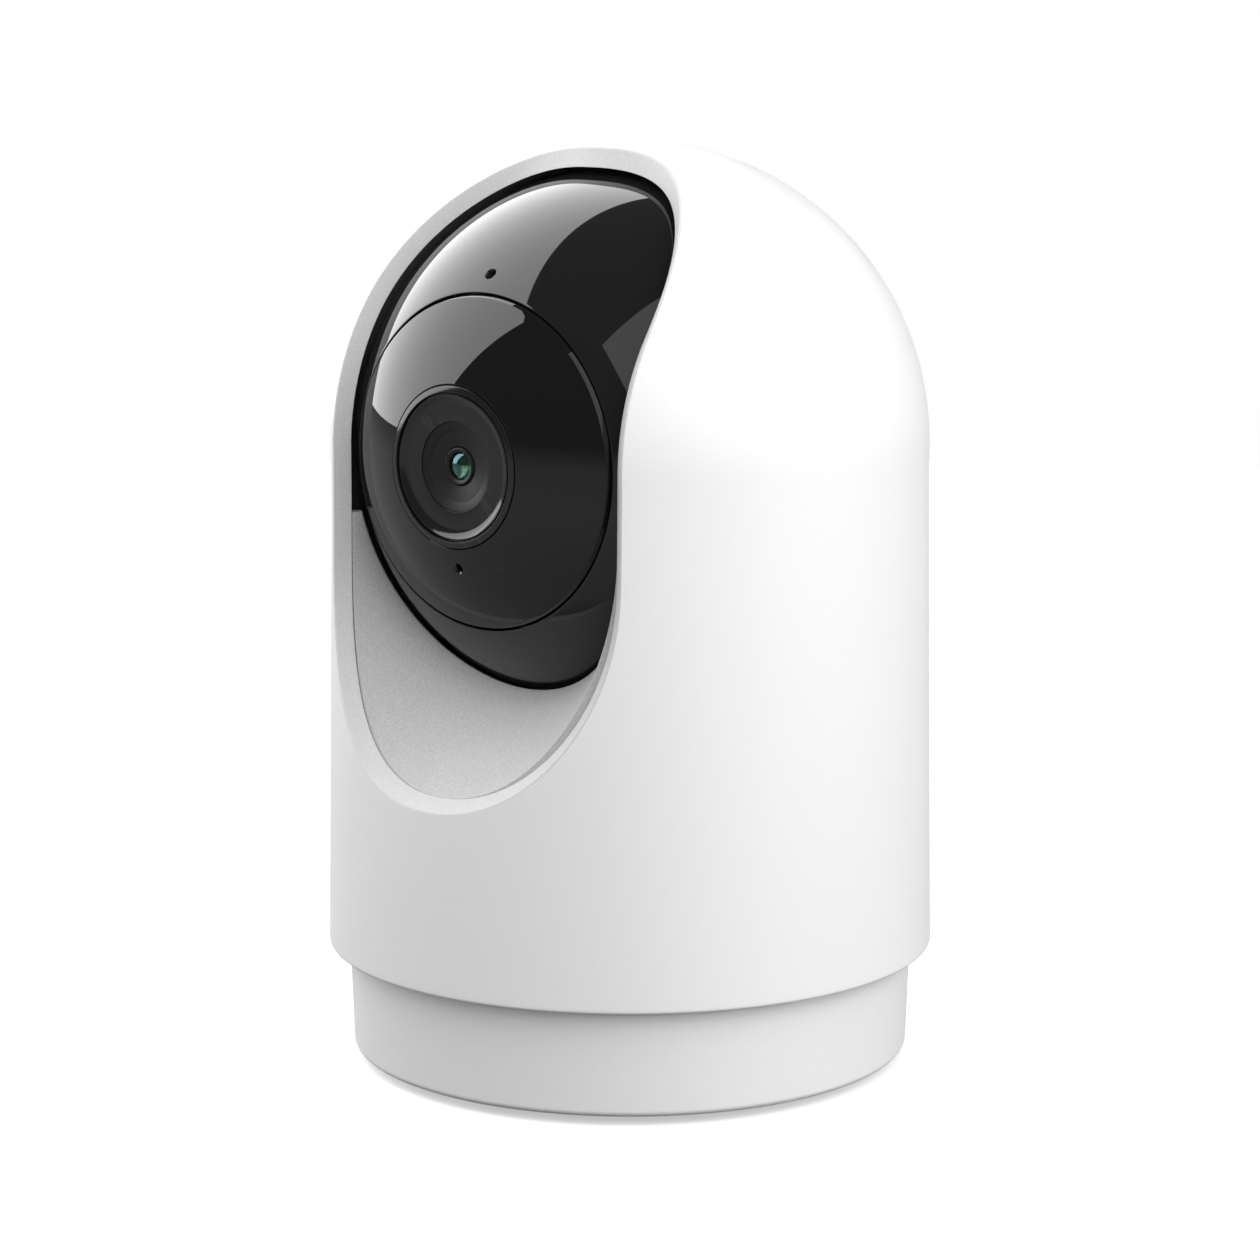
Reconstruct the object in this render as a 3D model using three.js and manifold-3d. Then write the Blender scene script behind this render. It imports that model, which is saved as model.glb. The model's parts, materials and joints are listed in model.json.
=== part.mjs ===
// Indoor pan-and-tilt security camera.
// Millimetres, +Z up, lens towards -Y. The origin is on the standing surface, on the pan axis.

import * as THREE from 'three';
import { mergeVertices } from 'three/addons/utils/BufferGeometryUtils.js';
import Module from 'manifold-3d';

const wasm = await Module();
wasm.setup();

// ---------------------------------------------------------------- driving dimensions

const GAP = 0.3;

const FOOT_HEIGHT = 1.2;
const FOOT_RADIUS = 4;
const FOOT_CIRCLE = 27.3;

const BASE_FLOOR = FOOT_HEIGHT;
const BASE_TOP = 19;
const BASE_RADIUS = 36.35;
const BASE_RADIUS_BOTTOM = 35.9;
const BASE_NECK_RADIUS = 35.6;
const BASE_NECK_Z = 14.2;
const BASE_BORE = 33.7;
const DECK_THICKNESS = 2;
const SPINDLE_RADIUS = 7;
const SPINDLE_BORE = 4.6;
const SPINDLE_TOP = 25.6;

const BOTTOM_PLATE_Z = 1.3;
const BOTTOM_PLATE_THICKNESS = 1.8;
const BASE_SCREW_CIRCLE = 30.5;
const TRIPOD_BORE = 3.2;
const TRIPOD_FLANGE = 6.5;
const TRIPOD_HUB = 5;

const SHELL_BOTTOM = 15;
const SHELL_RADIUS = 38;
const SHELL_RADIUS_BOTTOM = 39;
const SHELL_BORE = 35.5;
const SHELL_BORE_BOTTOM = 36.6;
const SHELL_SCREW_CIRCLE = 33.6;
const SHELL_BOSS_RADIUS = 3.4;

const BALL_Z = 79.4;
const BALL_RADIUS = 34.8;
const BALL_WALL = 1.8;
const BALL_HALF_WIDTH = 28;
const BALL_SPLIT_Y = 6;
const TRUNNION_RADIUS = 4;
const TRUNNION_BORE = 2.4;
const TRUNNION_END = 33.9;
const BALL_SCREW_OFFSET = 16;
const BALL_SCREW_SEAT_Y = 22.5;

// The shell's front opening, seen from the front: a straight-sided outline whose two ends are
// superellipses. It is slightly smaller at the inner face of the wall than at the outer face.
const OPENING_LOW_Z = 67.2;
const OPENING_HIGH_Z = 95.2;
const OPENING_OUTER = { halfWidth: 23.45, below: 29.4, above: 21.6 };
const OPENING_INNER = { halfWidth: 21.85, below: 27.9, above: 19.3 };
const OPENING_POWER_BELOW = 2.2;
const OPENING_POWER_ABOVE = 2.3;

// The front bezel is a ramp from the shell's opening up to a circular edge beside the ball.
const BEZEL_TOP_Z = 71.4;
const BEZEL_EDGE_RADIUS = 21;
const BEZEL_BALL_GAP = 0.5;
const BEZEL_THICKNESS = 1.5;

const TURNTABLE_Z = 22.8;
const TURNTABLE_THICKNESS = 2.5;
const TURNTABLE_RADIUS = 36;
const CHASSIS_Z = 25.6;
const CHASSIS_THICKNESS = 1.8;
const ARM_INNER_X = 31.4;
const ARM_OUTER_X = 33.8;
const ARM_HALF_WIDTH = 7;
const BUSH_RADIUS = 5.2;

const PAN_MODULE = 0.8;
const PAN_GEAR_TEETH = 32;
const PAN_PINION_TEETH = 12;
const PAN_GEAR_Z = 19.3;
const PAN_GEAR_FACE = 3;
const PAN_CENTRES = (PAN_MODULE * (PAN_GEAR_TEETH + PAN_PINION_TEETH)) / 2;

const TILT_MODULE = 0.7;
const TILT_GEAR_TEETH = 22;
const TILT_PINION_TEETH = 12;
const TILT_GEAR_X = 28.4;
const TILT_GEAR_FACE = 2.2;
const TILT_CENTRES = (TILT_MODULE * (TILT_GEAR_TEETH + TILT_PINION_TEETH)) / 2;

const COVER_SEAM_RADIUS = 20.6;
const COVER_EDGE_GAP = 0.15;
const COVER_RADIUS_OF_CURVATURE = 35.64;
const COVER_CENTRE = -0.945;
const COVER_THICKNESS = 1.8;
const COVER_LEDGE = 26.1;
const LENS_RING_RADIUS = 9.85;
const LENS_FACE = 33;

const STATUS_ELEVATION = 41;
const STATUS_HOLE_RADIUS = 0.65;
const MICROPHONE_ELEVATION = -21;
const MICROPHONE_HOLE_RADIUS = 0.5;
const CARD_ELEVATION = -66;
const BUTTON_X = 10;
const BUTTON_RADIUS = 1.2;

const SPEAKER_Z = 40.2;
const SPEAKER_RADIUS = 11;
const SLOT_HALF_WIDTH = 0.9;
const USB_Z = 8.5;
const USB_HALF_WIDTH = 4.45;
const USB_HALF_HEIGHT = 1.6;

// Self-tapping screws, and the holes and bosses that take them.
const SCREW_HEAD_RADIUS = 2.2;
const SCREW_SHANK_RADIUS = 0.8;
const SCREW_PILOT_RADIUS = 1.1;
const SCREW_CLEARANCE_RADIUS = 1.2;
const SCREW_HEAD_SEAT_RADIUS = 2.5;
const SCREW_BOSS_RADIUS = 2.6;
const SCREW_ANGLES = [150, 270, 30];
const FOOT_ANGLES = [45, 135, 225, 315];

// ---------------------------------------------------------------- materials

const surface = (color, roughness, metalness) => {
  return new THREE.MeshStandardMaterial({ color, roughness, metalness });
};
const plastic = (color, roughness) => surface(color, roughness, 0);
const metal = (color, roughness) => surface(color, roughness, 1);

const materials = {
  whiteShell: () => plastic(0xf2f2f1, 0.4),
  whiteTexture: () => plastic(0xe9e9e8, 0.7),
  blackGloss: () => plastic(0x0b0b0c, 0.08),
  blackMatt: () => plastic(0x17181a, 0.6),
  innerWhite: () => plastic(0xdcdcda, 0.6),
  rubber: () => plastic(0x2a2b2c, 0.9),
  glass: () => plastic(0x10201c, 0.03),
  board: () => plastic(0x1d5a35, 0.5),
  gear: () => plastic(0xe6e2d6, 0.45),
  cable: () => plastic(0xb9894a, 0.5),
  steel: () => metal(0xb4b6b8, 0.35),
  brass: () => metal(0xc8a24e, 0.35),
};

// ---------------------------------------------------------------- geometry helpers

const DEGREE = Math.PI / 180;

function toSolid(geometry) {
  const bare = geometry.clone();
  bare.deleteAttribute('normal');
  bare.deleteAttribute('uv');
  const merged = mergeVertices(bare, 1e-4);
  const index = merged.index.array;
  const triangles = [];
  for (let i = 0; i < index.length; i += 3) {
    const [a, b, c] = [index[i], index[i + 1], index[i + 2]];
    if (a !== b && b !== c && c !== a) {
      triangles.push(a, b, c);
    }
  }
  const vertProperties = new Float32Array(merged.attributes.position.array);
  const triVerts = new Uint32Array(triangles);
  return new wasm.Manifold(new wasm.Mesh({ numProp: 3, vertProperties, triVerts }));
}

function toGeometry(solid) {
  const mesh = solid.getMesh();
  const geometry = new THREE.BufferGeometry();
  geometry.setAttribute('position', new THREE.BufferAttribute(mesh.vertProperties, 3));
  geometry.setIndex(new THREE.BufferAttribute(mesh.triVerts, 1));
  geometry.computeVertexNormals();
  return geometry;
}

function cut(geometry, ...tools) {
  const cleared = tools.reduce((solid, tool) => solid.subtract(toSolid(tool)), toSolid(geometry));
  return toGeometry(cleared);
}

function join(geometry, ...others) {
  const joined = others.reduce((solid, other) => solid.add(toSolid(other)), toSolid(geometry));
  return toGeometry(joined);
}

function common(geometry, ...others) {
  const shared = others.reduce((solid, other) => solid.intersect(toSolid(other)), toSolid(geometry));
  return toGeometry(shared);
}

// A solid turned about Z from [radius, z] points. The outline runs upwards on its outer side.
function turned(outline, segments = 24) {
  const points = outline.map(([radius, z]) => new THREE.Vector2(radius, z));
  return new THREE.LatheGeometry(points, segments).rotateX(Math.PI / 2);
}

function turnedRing(outline, segments = 24) {
  return turned([...outline, outline[0]], segments);
}

function disc(radius, z0, z1, segments = 16) {
  const geometry = new THREE.CylinderGeometry(radius, radius, z1 - z0, segments);
  return geometry.rotateX(Math.PI / 2).translate(0, 0, (z0 + z1) / 2);
}

function ring(outer, inner, z0, z1, segments = 24) {
  return turnedRing([[inner, z0], [outer, z0], [outer, z1], [inner, z1]], segments);
}

function block([x0, x1], [y0, y1], [z0, z1]) {
  const geometry = new THREE.BoxGeometry(x1 - x0, y1 - y0, z1 - z0);
  return geometry.translate((x0 + x1) / 2, (y0 + y1) / 2, (z0 + z1) / 2);
}

// A cylinder along X between two places.
function bar(radius, from, to, segments = 16) {
  return disc(radius, Math.min(from, to), Math.max(from, to), segments).rotateY(Math.PI / 2);
}

function arc(radius, centreZ, fromDegrees, toDegrees, steps) {
  return Array.from({ length: steps + 1 }, (_, i) => {
    const angle = (fromDegrees + ((toDegrees - fromDegrees) * i) / steps) * DEGREE;
    return [Math.max(0, radius * Math.cos(angle)), centreZ + radius * Math.sin(angle)];
  });
}

// Rings of points joined by quadrilaterals, each end closed by a fan about its middle point.
function skinned(rings) {
  const count = rings[0].length;
  const positions = rings.flat(2);
  const index = [];
  for (let r = 0; r < rings.length - 1; r += 1) {
    for (let i = 0; i < count; i += 1) {
      const j = (i + 1) % count;
      const [a, b, c, d] = [r * count + i, r * count + j, (r + 1) * count + j, (r + 1) * count + i];
      index.push(a, b, c, a, c, d);
    }
  }
  const closeEnd = (ringNumber, reversed) => {
    const points = rings[ringNumber];
    const middle = [0, 1, 2].map((axis) => points.reduce((sum, p) => sum + p[axis], 0) / count);
    const centre = positions.length / 3;
    positions.push(...middle);
    for (let i = 0; i < count; i += 1) {
      const a = ringNumber * count + i;
      const b = ringNumber * count + ((i + 1) % count);
      index.push(...(reversed ? [centre, b, a] : [centre, a, b]));
    }
  };
  closeEnd(0, true);
  closeEnd(rings.length - 1, false);
  const geometry = new THREE.BufferGeometry();
  geometry.setAttribute('position', new THREE.Float32BufferAttribute(positions, 3));
  geometry.setIndex(index);
  geometry.computeVertexNormals();
  return geometry;
}

// ---------------------------------------------------------------- gears

// A spur gear with a tooth on +X and its teeth slimmed for backlash.
function gear(teeth, modulus, bore, face) {
  const pressureAngle = 20 * DEGREE;
  const backlash = 0.12 * modulus;
  const pitchRadius = (teeth * modulus) / 2;
  const tipRadius = pitchRadius + 0.85 * modulus;
  const rootRadius = pitchRadius - 1.15 * modulus;
  const baseRadius = pitchRadius * Math.cos(pressureAngle);
  const involute = (angle) => Math.tan(angle) - angle;
  const halfAngle = (radius) => {
    const pressure = Math.acos(Math.min(1, baseRadius / radius));
    const atPitch = Math.PI / (2 * teeth) - backlash / (2 * pitchRadius);
    return atPitch + involute(pressureAngle) - involute(pressure);
  };
  const at = (radius, angle) => new THREE.Vector2(radius * Math.cos(angle), radius * Math.sin(angle));
  const points = [];
  for (let tooth = 0; tooth < teeth; tooth += 1) {
    const middle = (tooth * 2 * Math.PI) / teeth;
    points.push(at(rootRadius, middle - halfAngle(rootRadius)));
    points.push(at(tipRadius, middle - halfAngle(tipRadius)));
    points.push(at(tipRadius, middle + halfAngle(tipRadius)));
    points.push(at(rootRadius, middle + halfAngle(rootRadius)));
  }
  const shape = new THREE.Shape(points);
  shape.holes.push(new THREE.Path().absarc(0, 0, bore, 0, 2 * Math.PI, true));
  return new THREE.ExtrudeGeometry(shape, { depth: face, bevelEnabled: false, curveSegments: 8 });
}

// ---------------------------------------------------------------- the front opening

function superellipse(halfWidth, halfHeight, power, angle) {
  const bend = (value) => Math.sign(value) * Math.abs(value) ** (2 / power);
  return [halfWidth * bend(Math.cos(angle)), halfHeight * bend(Math.sin(angle))];
}

// A point of the opening's lower end in front view, where -90 degrees is the lowest point.
function lowerEndPoint(outline, angle) {
  const [x, z] = superellipse(outline.halfWidth, outline.below, OPENING_POWER_BELOW, angle);
  return [x, z + OPENING_LOW_Z];
}

function upperEndPoint(outline, angle) {
  const [x, z] = superellipse(outline.halfWidth, outline.above, OPENING_POWER_ABOVE, angle);
  return [x, z + OPENING_HIGH_Z];
}

// The whole outline in front view, anticlockwise from the right side's lower end.
function openingOutline(outline, endSteps, sideSteps) {
  const points = [];
  const sideHeight = OPENING_HIGH_Z - OPENING_LOW_Z;
  for (let i = 0; i < sideSteps; i += 1) {
    points.push([outline.halfWidth, OPENING_LOW_Z + (sideHeight * i) / sideSteps]);
  }
  for (let i = 0; i < endSteps; i += 1) {
    points.push(upperEndPoint(outline, (Math.PI * i) / endSteps));
  }
  for (let i = 0; i < sideSteps; i += 1) {
    points.push([-outline.halfWidth, OPENING_HIGH_Z - (sideHeight * i) / sideSteps]);
  }
  for (let i = 0; i < endSteps; i += 1) {
    points.push(lowerEndPoint(outline, Math.PI + (Math.PI * i) / endSteps));
  }
  return points;
}

// How far out from the pan axis a surface is at height z, when it is a dome above the ball's
// centre and a cone widening by the given amount down to the shell's lower rim.
function wallRadius(radius, widening, z) {
  const drop = Math.max(0, BALL_Z - z) / (BALL_Z - SHELL_BOTTOM);
  const rise = Math.max(0, z - BALL_Z);
  return Math.sqrt((radius + widening * drop) ** 2 - rise ** 2);
}

function onWall([x, z], radius, widening) {
  const distance = wallRadius(radius, widening, z);
  return [x, -Math.sqrt(Math.max(0, distance ** 2 - x ** 2)), z];
}

function openingCutter(endSteps = 18, sideSteps = 4) {
  const outer = openingOutline(OPENING_OUTER, endSteps, sideSteps).map((point) => {
    return onWall(point, SHELL_RADIUS, SHELL_RADIUS_BOTTOM - SHELL_RADIUS);
  });
  const inner = openingOutline(OPENING_INNER, endSteps, sideSteps).map((point) => {
    return onWall(point, SHELL_BORE, SHELL_BORE_BOTTOM - SHELL_BORE);
  });
  const along = (part) => outer.map((p, i) => p.map((value, axis) => {
    return inner[i][axis] + part * (value - inner[i][axis]);
  }));
  const within = along(-0.15);
  const beyond = along(1.5);
  const ahead = beyond.map(([x, , z]) => [x, -2 * SHELL_RADIUS, z]);
  const behind = within.map(([x, , z]) => [x, 0, z]);
  return skinned([behind, within, beyond, ahead]);
}

// ---------------------------------------------------------------- base

function baseHousing() {
  const edge = 1;
  const edgeBulge = 0.3;
  const shoulder = 0.5;
  const outline = [
    [BASE_BORE, BASE_FLOOR],
    [BASE_RADIUS_BOTTOM - edge, BASE_FLOOR],
    [BASE_RADIUS_BOTTOM - edgeBulge, BASE_FLOOR + edgeBulge],
    [BASE_RADIUS_BOTTOM, BASE_FLOOR + edge],
    [BASE_RADIUS, BASE_NECK_Z],
    [BASE_NECK_RADIUS, BASE_NECK_Z + shoulder],
    [BASE_NECK_RADIUS, BASE_TOP],
    [SPINDLE_RADIUS, BASE_TOP],
    [SPINDLE_RADIUS, SPINDLE_TOP],
    [SPINDLE_BORE, SPINDLE_TOP],
    [SPINDLE_BORE, BASE_TOP - DECK_THICKNESS],
    [BASE_BORE, BASE_TOP - DECK_THICKNESS],
  ];
  const plateTop = BOTTOM_PLATE_Z + BOTTOM_PLATE_THICKNESS;
  const boss = disc(SCREW_BOSS_RADIUS, plateTop + GAP, BASE_TOP - 1, 16);
  const bosses = copiesAt(boss, screwPlaces(BASE_SCREW_CIRCLE));
  const pilots = copiesAt(disc(SCREW_PILOT_RADIUS, 0, 13, 12), screwPlaces(BASE_SCREW_CIRCLE));
  const shell = join(turnedRing(outline, 40), usbPocketWall(), ...bosses);
  return cut(shell, ...usbPocketCutters(), ...pilots);
}

// The recess in the back of the base that the inlet opens into.
function usbPocketWall() {
  return block([-8.5, 8.5], [29.5, 34.5], [USB_Z - 5, USB_Z + 5]);
}

function usbPocketCutters() {
  const halfWidth = USB_HALF_WIDTH + 0.35;
  const halfHeight = USB_HALF_HEIGHT + GAP;
  const recess = block([-6.3, 6.3], [31.3, 40], [USB_Z - 3.8, USB_Z + 3.8]);
  const portHole = block([-halfWidth, halfWidth], [29, 32], [USB_Z - halfHeight, USB_Z + halfHeight]);
  return [recess, portHole];
}

function placesOnCircle(radius, angles) {
  return angles.map((a) => [radius * Math.cos(a * DEGREE), radius * Math.sin(a * DEGREE)]);
}

function screwPlaces(circle) {
  return placesOnCircle(circle, SCREW_ANGLES);
}

function footPlaces() {
  return placesOnCircle(FOOT_CIRCLE, FOOT_ANGLES);
}

function copiesAt(geometry, places) {
  return places.map(([x, y]) => geometry.clone().translate(x, y, 0));
}

function baseBottomPlate() {
  const top = BOTTOM_PLATE_Z + BOTTOM_PLATE_THICKNESS;
  const plate = disc(BASE_BORE - GAP, BOTTOM_PLATE_Z, top, 40);
  const footPocket = disc(FOOT_RADIUS + GAP, 0, BOTTOM_PLATE_Z + 0.6);
  const clearanceHole = disc(SCREW_CLEARANCE_RADIUS, 0, top + 1, 12);
  const headSeat = disc(SCREW_HEAD_SEAT_RADIUS, 0, BOTTOM_PLATE_Z + 0.9, 16);
  const screwHoles = copiesAt(join(clearanceHole, headSeat), screwPlaces(BASE_SCREW_CIRCLE));
  const tripodHole = disc(TRIPOD_BORE + 0.4, 0, top + 1);
  return cut(plate, tripodHole, ...copiesAt(footPocket, footPlaces()), ...screwHoles);
}

function footPad() {
  return disc(FOOT_RADIUS, 0, BOTTOM_PLATE_Z + GAP);
}

// A round-headed screw pointing up, its head's underside at z = 0.
function screw(headRadius, headHeight, length) {
  return turned([
    [0, -headHeight],
    [headRadius, -headHeight],
    [headRadius, 0],
    [SCREW_SHANK_RADIUS, 0],
    [SCREW_SHANK_RADIUS, length],
    [0, length],
  ], 8);
}

// A steel segment that keeps the camera upright when it leans forward.
function ballastPlate() {
  const radius = 26;
  const shape = new THREE.Shape();
  shape.absarc(0, 0, radius, 195 * DEGREE, 345 * DEGREE, false);
  shape.closePath();
  return new THREE.ExtrudeGeometry(shape, { depth: 8, bevelEnabled: false, curveSegments: 20 });
}

// The inlet's metal can, open at the back of the base, with its contact tongue.
function usbPort() {
  const wall = 0.3;
  const [width, height] = [USB_HALF_WIDTH, USB_HALF_HEIGHT];
  const [mouthWidth, mouthHeight] = [width - wall, height - wall];
  const can = block([-width, width], [24, 31], [USB_Z - height, USB_Z + height]);
  const mouth = block([-mouthWidth, mouthWidth], [26, 32], [USB_Z - mouthHeight, USB_Z + mouthHeight]);
  const tongue = block([-3.3, 3.3], [25.5, 30.4], [USB_Z - 0.35, USB_Z + 0.35]);
  return join(cut(can, mouth), tongue);
}

function tripodInsert() {
  const floor = BOTTOM_PLATE_Z + BOTTOM_PLATE_THICKNESS + GAP;
  const flangeTop = floor + 1;
  const top = floor + 6;
  return turnedRing([
    [TRIPOD_BORE, floor],
    [TRIPOD_FLANGE, floor],
    [TRIPOD_FLANGE, flangeTop],
    [TRIPOD_HUB, flangeTop],
    [TRIPOD_HUB, top],
    [TRIPOD_BORE, top],
  ], 16);
}

// ---------------------------------------------------------------- rotating body

function bodyShell() {
  const edge = 0.8;
  const edgeBulge = 0.23;
  const outside = turned([
    [0, SHELL_BOTTOM],
    [SHELL_RADIUS_BOTTOM - edge, SHELL_BOTTOM],
    [SHELL_RADIUS_BOTTOM - edgeBulge, SHELL_BOTTOM + edgeBulge],
    [SHELL_RADIUS_BOTTOM, SHELL_BOTTOM + edge],
    ...arc(SHELL_RADIUS, BALL_Z, 0, 90, 12),
  ], 48);
  const bore = turned([
    [0, SHELL_BOTTOM - 1],
    [SHELL_BORE_BOTTOM, SHELL_BOTTOM - 1],
    [SHELL_BORE_BOTTOM, SHELL_BOTTOM],
    ...arc(SHELL_BORE, BALL_Z, 0, 90, 8),
  ], 32);
  const screws = screwPlaces(SHELL_SCREW_CIRCLE);
  const bosses = copiesAt(disc(SHELL_BOSS_RADIUS, CHASSIS_Z, 33, 16), screws);
  const pilots = copiesAt(disc(SCREW_PILOT_RADIUS, 20, 32, 12), screws);
  return cut(join(cut(outside, bore), ...bosses), openingCutter(), ...speakerSlots(), ...pilots);
}

function speakerSlots() {
  return [-8, -4, 0, 4, 8].map((x) => {
    const halfLength = 0.8 * Math.sqrt(SPEAKER_RADIUS ** 2 - x ** 2);
    const [low, high] = [SPEAKER_Z - halfLength, SPEAKER_Z + halfLength];
    return block([x - SLOT_HALF_WIDTH, x + SLOT_HALF_WIDTH], [30, 45], [low, high]);
  });
}

// The ramp's section at an angle round its edge: 0 is the +X end, 90 degrees the lowest point.
function bezelSection(angle) {
  const rim = lowerEndPoint(OPENING_INNER, -angle);
  const level = Math.sin(angle);
  rim[1] += (BEZEL_TOP_Z - OPENING_LOW_Z) * (1 - level);
  const edge = [BEZEL_EDGE_RADIUS * Math.cos(angle), BEZEL_TOP_Z - BEZEL_EDGE_RADIUS * level];
  const outwards = ([x, z]) => [x + BEZEL_THICKNESS * Math.cos(angle), z - BEZEL_THICKNESS * level];
  const bore = SHELL_BORE - GAP;
  const widening = SHELL_BORE_BOTTOM - SHELL_BORE;
  const besideBall = ([x, z]) => {
    const reach = BALL_RADIUS + BEZEL_BALL_GAP;
    return [x, -Math.sqrt(reach ** 2 - x ** 2 - (z - BALL_Z) ** 2), z];
  };
  return [
    onWall(rim, bore, widening),
    besideBall(edge),
    besideBall(outwards(edge)),
    onWall(outwards(rim), bore, widening),
  ];
}

function frontBezel(steps = 28) {
  const sections = Array.from({ length: steps + 1 }, (_, i) => bezelSection((Math.PI * i) / steps));
  return skinned(sections);
}

function turntable() {
  const top = TURNTABLE_Z + TURNTABLE_THICKNESS;
  const plate = ring(TURNTABLE_RADIUS, SPINDLE_RADIUS + GAP, TURNTABLE_Z, top, 40);
  const screwHole = disc(SCREW_CLEARANCE_RADIUS, 20, 30, 12);
  const screwHoles = copiesAt(screwHole, screwPlaces(SHELL_SCREW_CIRCLE));
  const pinionHole = disc(6, 20, 30).translate(0, -PAN_CENTRES, 0);
  return cut(plate, pinionHole, ...screwHoles);
}

function chassisArm(side) {
  const span = side > 0 ? [ARM_INNER_X, ARM_OUTER_X] : [-ARM_OUTER_X, -ARM_INNER_X];
  const post = block(span, [-ARM_HALF_WIDTH, ARM_HALF_WIDTH], [CHASSIS_Z, BALL_Z]);
  const head = bar(ARM_HALF_WIDTH, ...span).translate(0, 0, BALL_Z);
  return cut(join(post, head), bar(BUSH_RADIUS + 0.1, -40, 40).translate(0, 0, BALL_Z));
}

function chassis() {
  const top = CHASSIS_Z + CHASSIS_THICKNESS;
  const plate = disc(29.5, CHASSIS_Z, top, 32);
  const barWidth = [-ARM_HALF_WIDTH, ARM_HALF_WIDTH];
  const crossbar = block([-ARM_OUTER_X, ARM_OUTER_X], barWidth, [CHASSIS_Z, top]);
  const spindleHole = disc(11.5, 20, 40);
  const shaftHole = disc(2.2, 20, 40, 16).translate(0, -PAN_CENTRES, 0);
  return join(cut(join(plate, crossbar), spindleHole, shaftHole), chassisArm(1), chassisArm(-1));
}

function tiltBush() {
  const bore = TRUNNION_RADIUS + 0.15;
  return ring(BUSH_RADIUS, bore, 0, ARM_OUTER_X - ARM_INNER_X, 24).rotateY(Math.PI / 2);
}

// A stepper motor standing on z = 0 with two mounting ears.
function stepper(radius, height) {
  const earReach = radius + 3;
  const ears = block([-earReach, earReach], [-2.5, 2.5], [0, 0.8]);
  return join(disc(radius, 0, height, 24), ears);
}

// The speaker's basket, opening upwards, with its magnet below.
function speaker() {
  const depth = 6;
  const wallInside = SPEAKER_RADIUS - 1.5;
  const throat = 4;
  const basket = turnedRing([
    [throat, 0],
    [SPEAKER_RADIUS - 2, 0],
    [SPEAKER_RADIUS, depth - 2],
    [SPEAKER_RADIUS, depth],
    [wallInside, depth],
    [wallInside, 2],
    [throat, 2],
  ], 16);
  const magnet = disc(6, -2, 1.5);
  return join(basket, magnet);
}

function speakerCone() {
  const rim = SPEAKER_RADIUS - 2;
  return turned([[0, 0], [3, 0], [rim, 2.2], [rim, 2.8], [3.2, 0.8], [2, 1.8], [0, 2.2]], 16);
}

// The ribbon that climbs the left arm to the ball's hollow trunnion.
function flexCable() {
  const thickness = 0.4;
  const width = 6;
  const armSide = -30.6;
  const floor = 27.8;
  const start = -14;
  const end = 72;
  const outline = [
    [start, floor],
    [start, floor + thickness],
    [armSide + thickness, floor + thickness],
    [armSide + thickness, end],
    [armSide, end],
    [armSide, floor],
  ];
  const shape = new THREE.Shape(outline.map(([x, z]) => new THREE.Vector2(x, z)));
  const ribbon = new THREE.ExtrudeGeometry(shape, { depth: width, bevelEnabled: false });
  return ribbon.rotateX(Math.PI / 2).translate(0, width / 2, 0);
}

// ---------------------------------------------------------------- ball

// The ball's outside, flat on both sides, grown or shrunk by an offset.
function ballBody(offset, widthSegments, heightSegments) {
  const sphere = new THREE.SphereGeometry(BALL_RADIUS + offset, widthSegments, heightSegments);
  const halfWidth = BALL_HALF_WIDTH + offset;
  return common(sphere, block([-halfWidth, halfWidth], [-50, 50], [-50, 50]));
}

function hollowBall(segments) {
  return cut(ballBody(0, segments, segments / 2), ballBody(-BALL_WALL, 20, 10));
}

// Turns a piece made along +Z to point along the optical axis, raised by an elevation.
function aimed(geometry, elevation = 0) {
  return geometry.rotateX(Math.PI / 2 - elevation * DEGREE);
}

// The columns inside the ball that take its two screws, between depths along the optical axis.
function ballScrewColumns(radius, back, front) {
  const offset = BALL_SCREW_OFFSET;
  return [offset, -offset].map((y) => aimed(disc(radius, back, front, 16).translate(offset, y, 0)));
}

function ballFrontShell() {
  const half = common(hollowBall(40), block([-50, 50], [-50, BALL_SPLIT_Y], [-50, 50]));
  const ledge = aimed(disc(22.6, COVER_LEDGE - BALL_WALL, COVER_LEDGE, 40));
  const trunnionRoot = BALL_HALF_WIDTH - 1;
  const trunnions = [1, -1].map((side) => {
    return bar(TRUNNION_RADIUS, side * trunnionRoot, side * TRUNNION_END);
  });
  const seat = aimed(disc(COVER_SEAM_RADIUS, COVER_LEDGE, 50, 40));
  const throat = aimed(disc(18.3, 15, 50, 32));
  const trunnionBore = bar(TRUNNION_BORE, -50, 50, 16);
  const lightHole = aimed(disc(STATUS_HOLE_RADIUS, 28, 40, 12), STATUS_ELEVATION);
  const cardSlot = aimed(block([-6, 6], [-0.8, 0.8], [28, 40]), CARD_ELEVATION);
  const buttonHole = aimed(disc(1.5, 28, 40, 16).translate(BUTTON_X, 0, 0), CARD_ELEVATION);
  const bosses = ballScrewColumns(SCREW_BOSS_RADIUS, -BALL_SPLIT_Y, COVER_LEDGE - 2.5);
  const pilots = ballScrewColumns(SCREW_PILOT_RADIUS, -BALL_SPLIT_Y - 1, 3);
  const front = join(half, ledge, ...bosses, ...trunnions);
  return cut(front, seat, throat, trunnionBore, lightHole, cardSlot, buttonHole, ...pilots);
}

function ballRearShell() {
  const half = common(hollowBall(28), block([-50, 50], [BALL_SPLIT_Y + GAP, 50], [-50, 50]));
  const bosses = ballScrewColumns(SCREW_BOSS_RADIUS, -BALL_SCREW_SEAT_Y - 1, -BALL_SPLIT_Y - GAP);
  const screwHoles = ballScrewColumns(SCREW_CLEARANCE_RADIUS, -30, 0);
  const headWells = ballScrewColumns(2.3, -40, -BALL_SCREW_SEAT_Y);
  const shaftHole = bar(2.2, 20, 40, 16).translate(0, TILT_CENTRES, 0);
  return cut(join(half, ...bosses), shaftHole, ...screwHoles, ...headWells);
}

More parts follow.
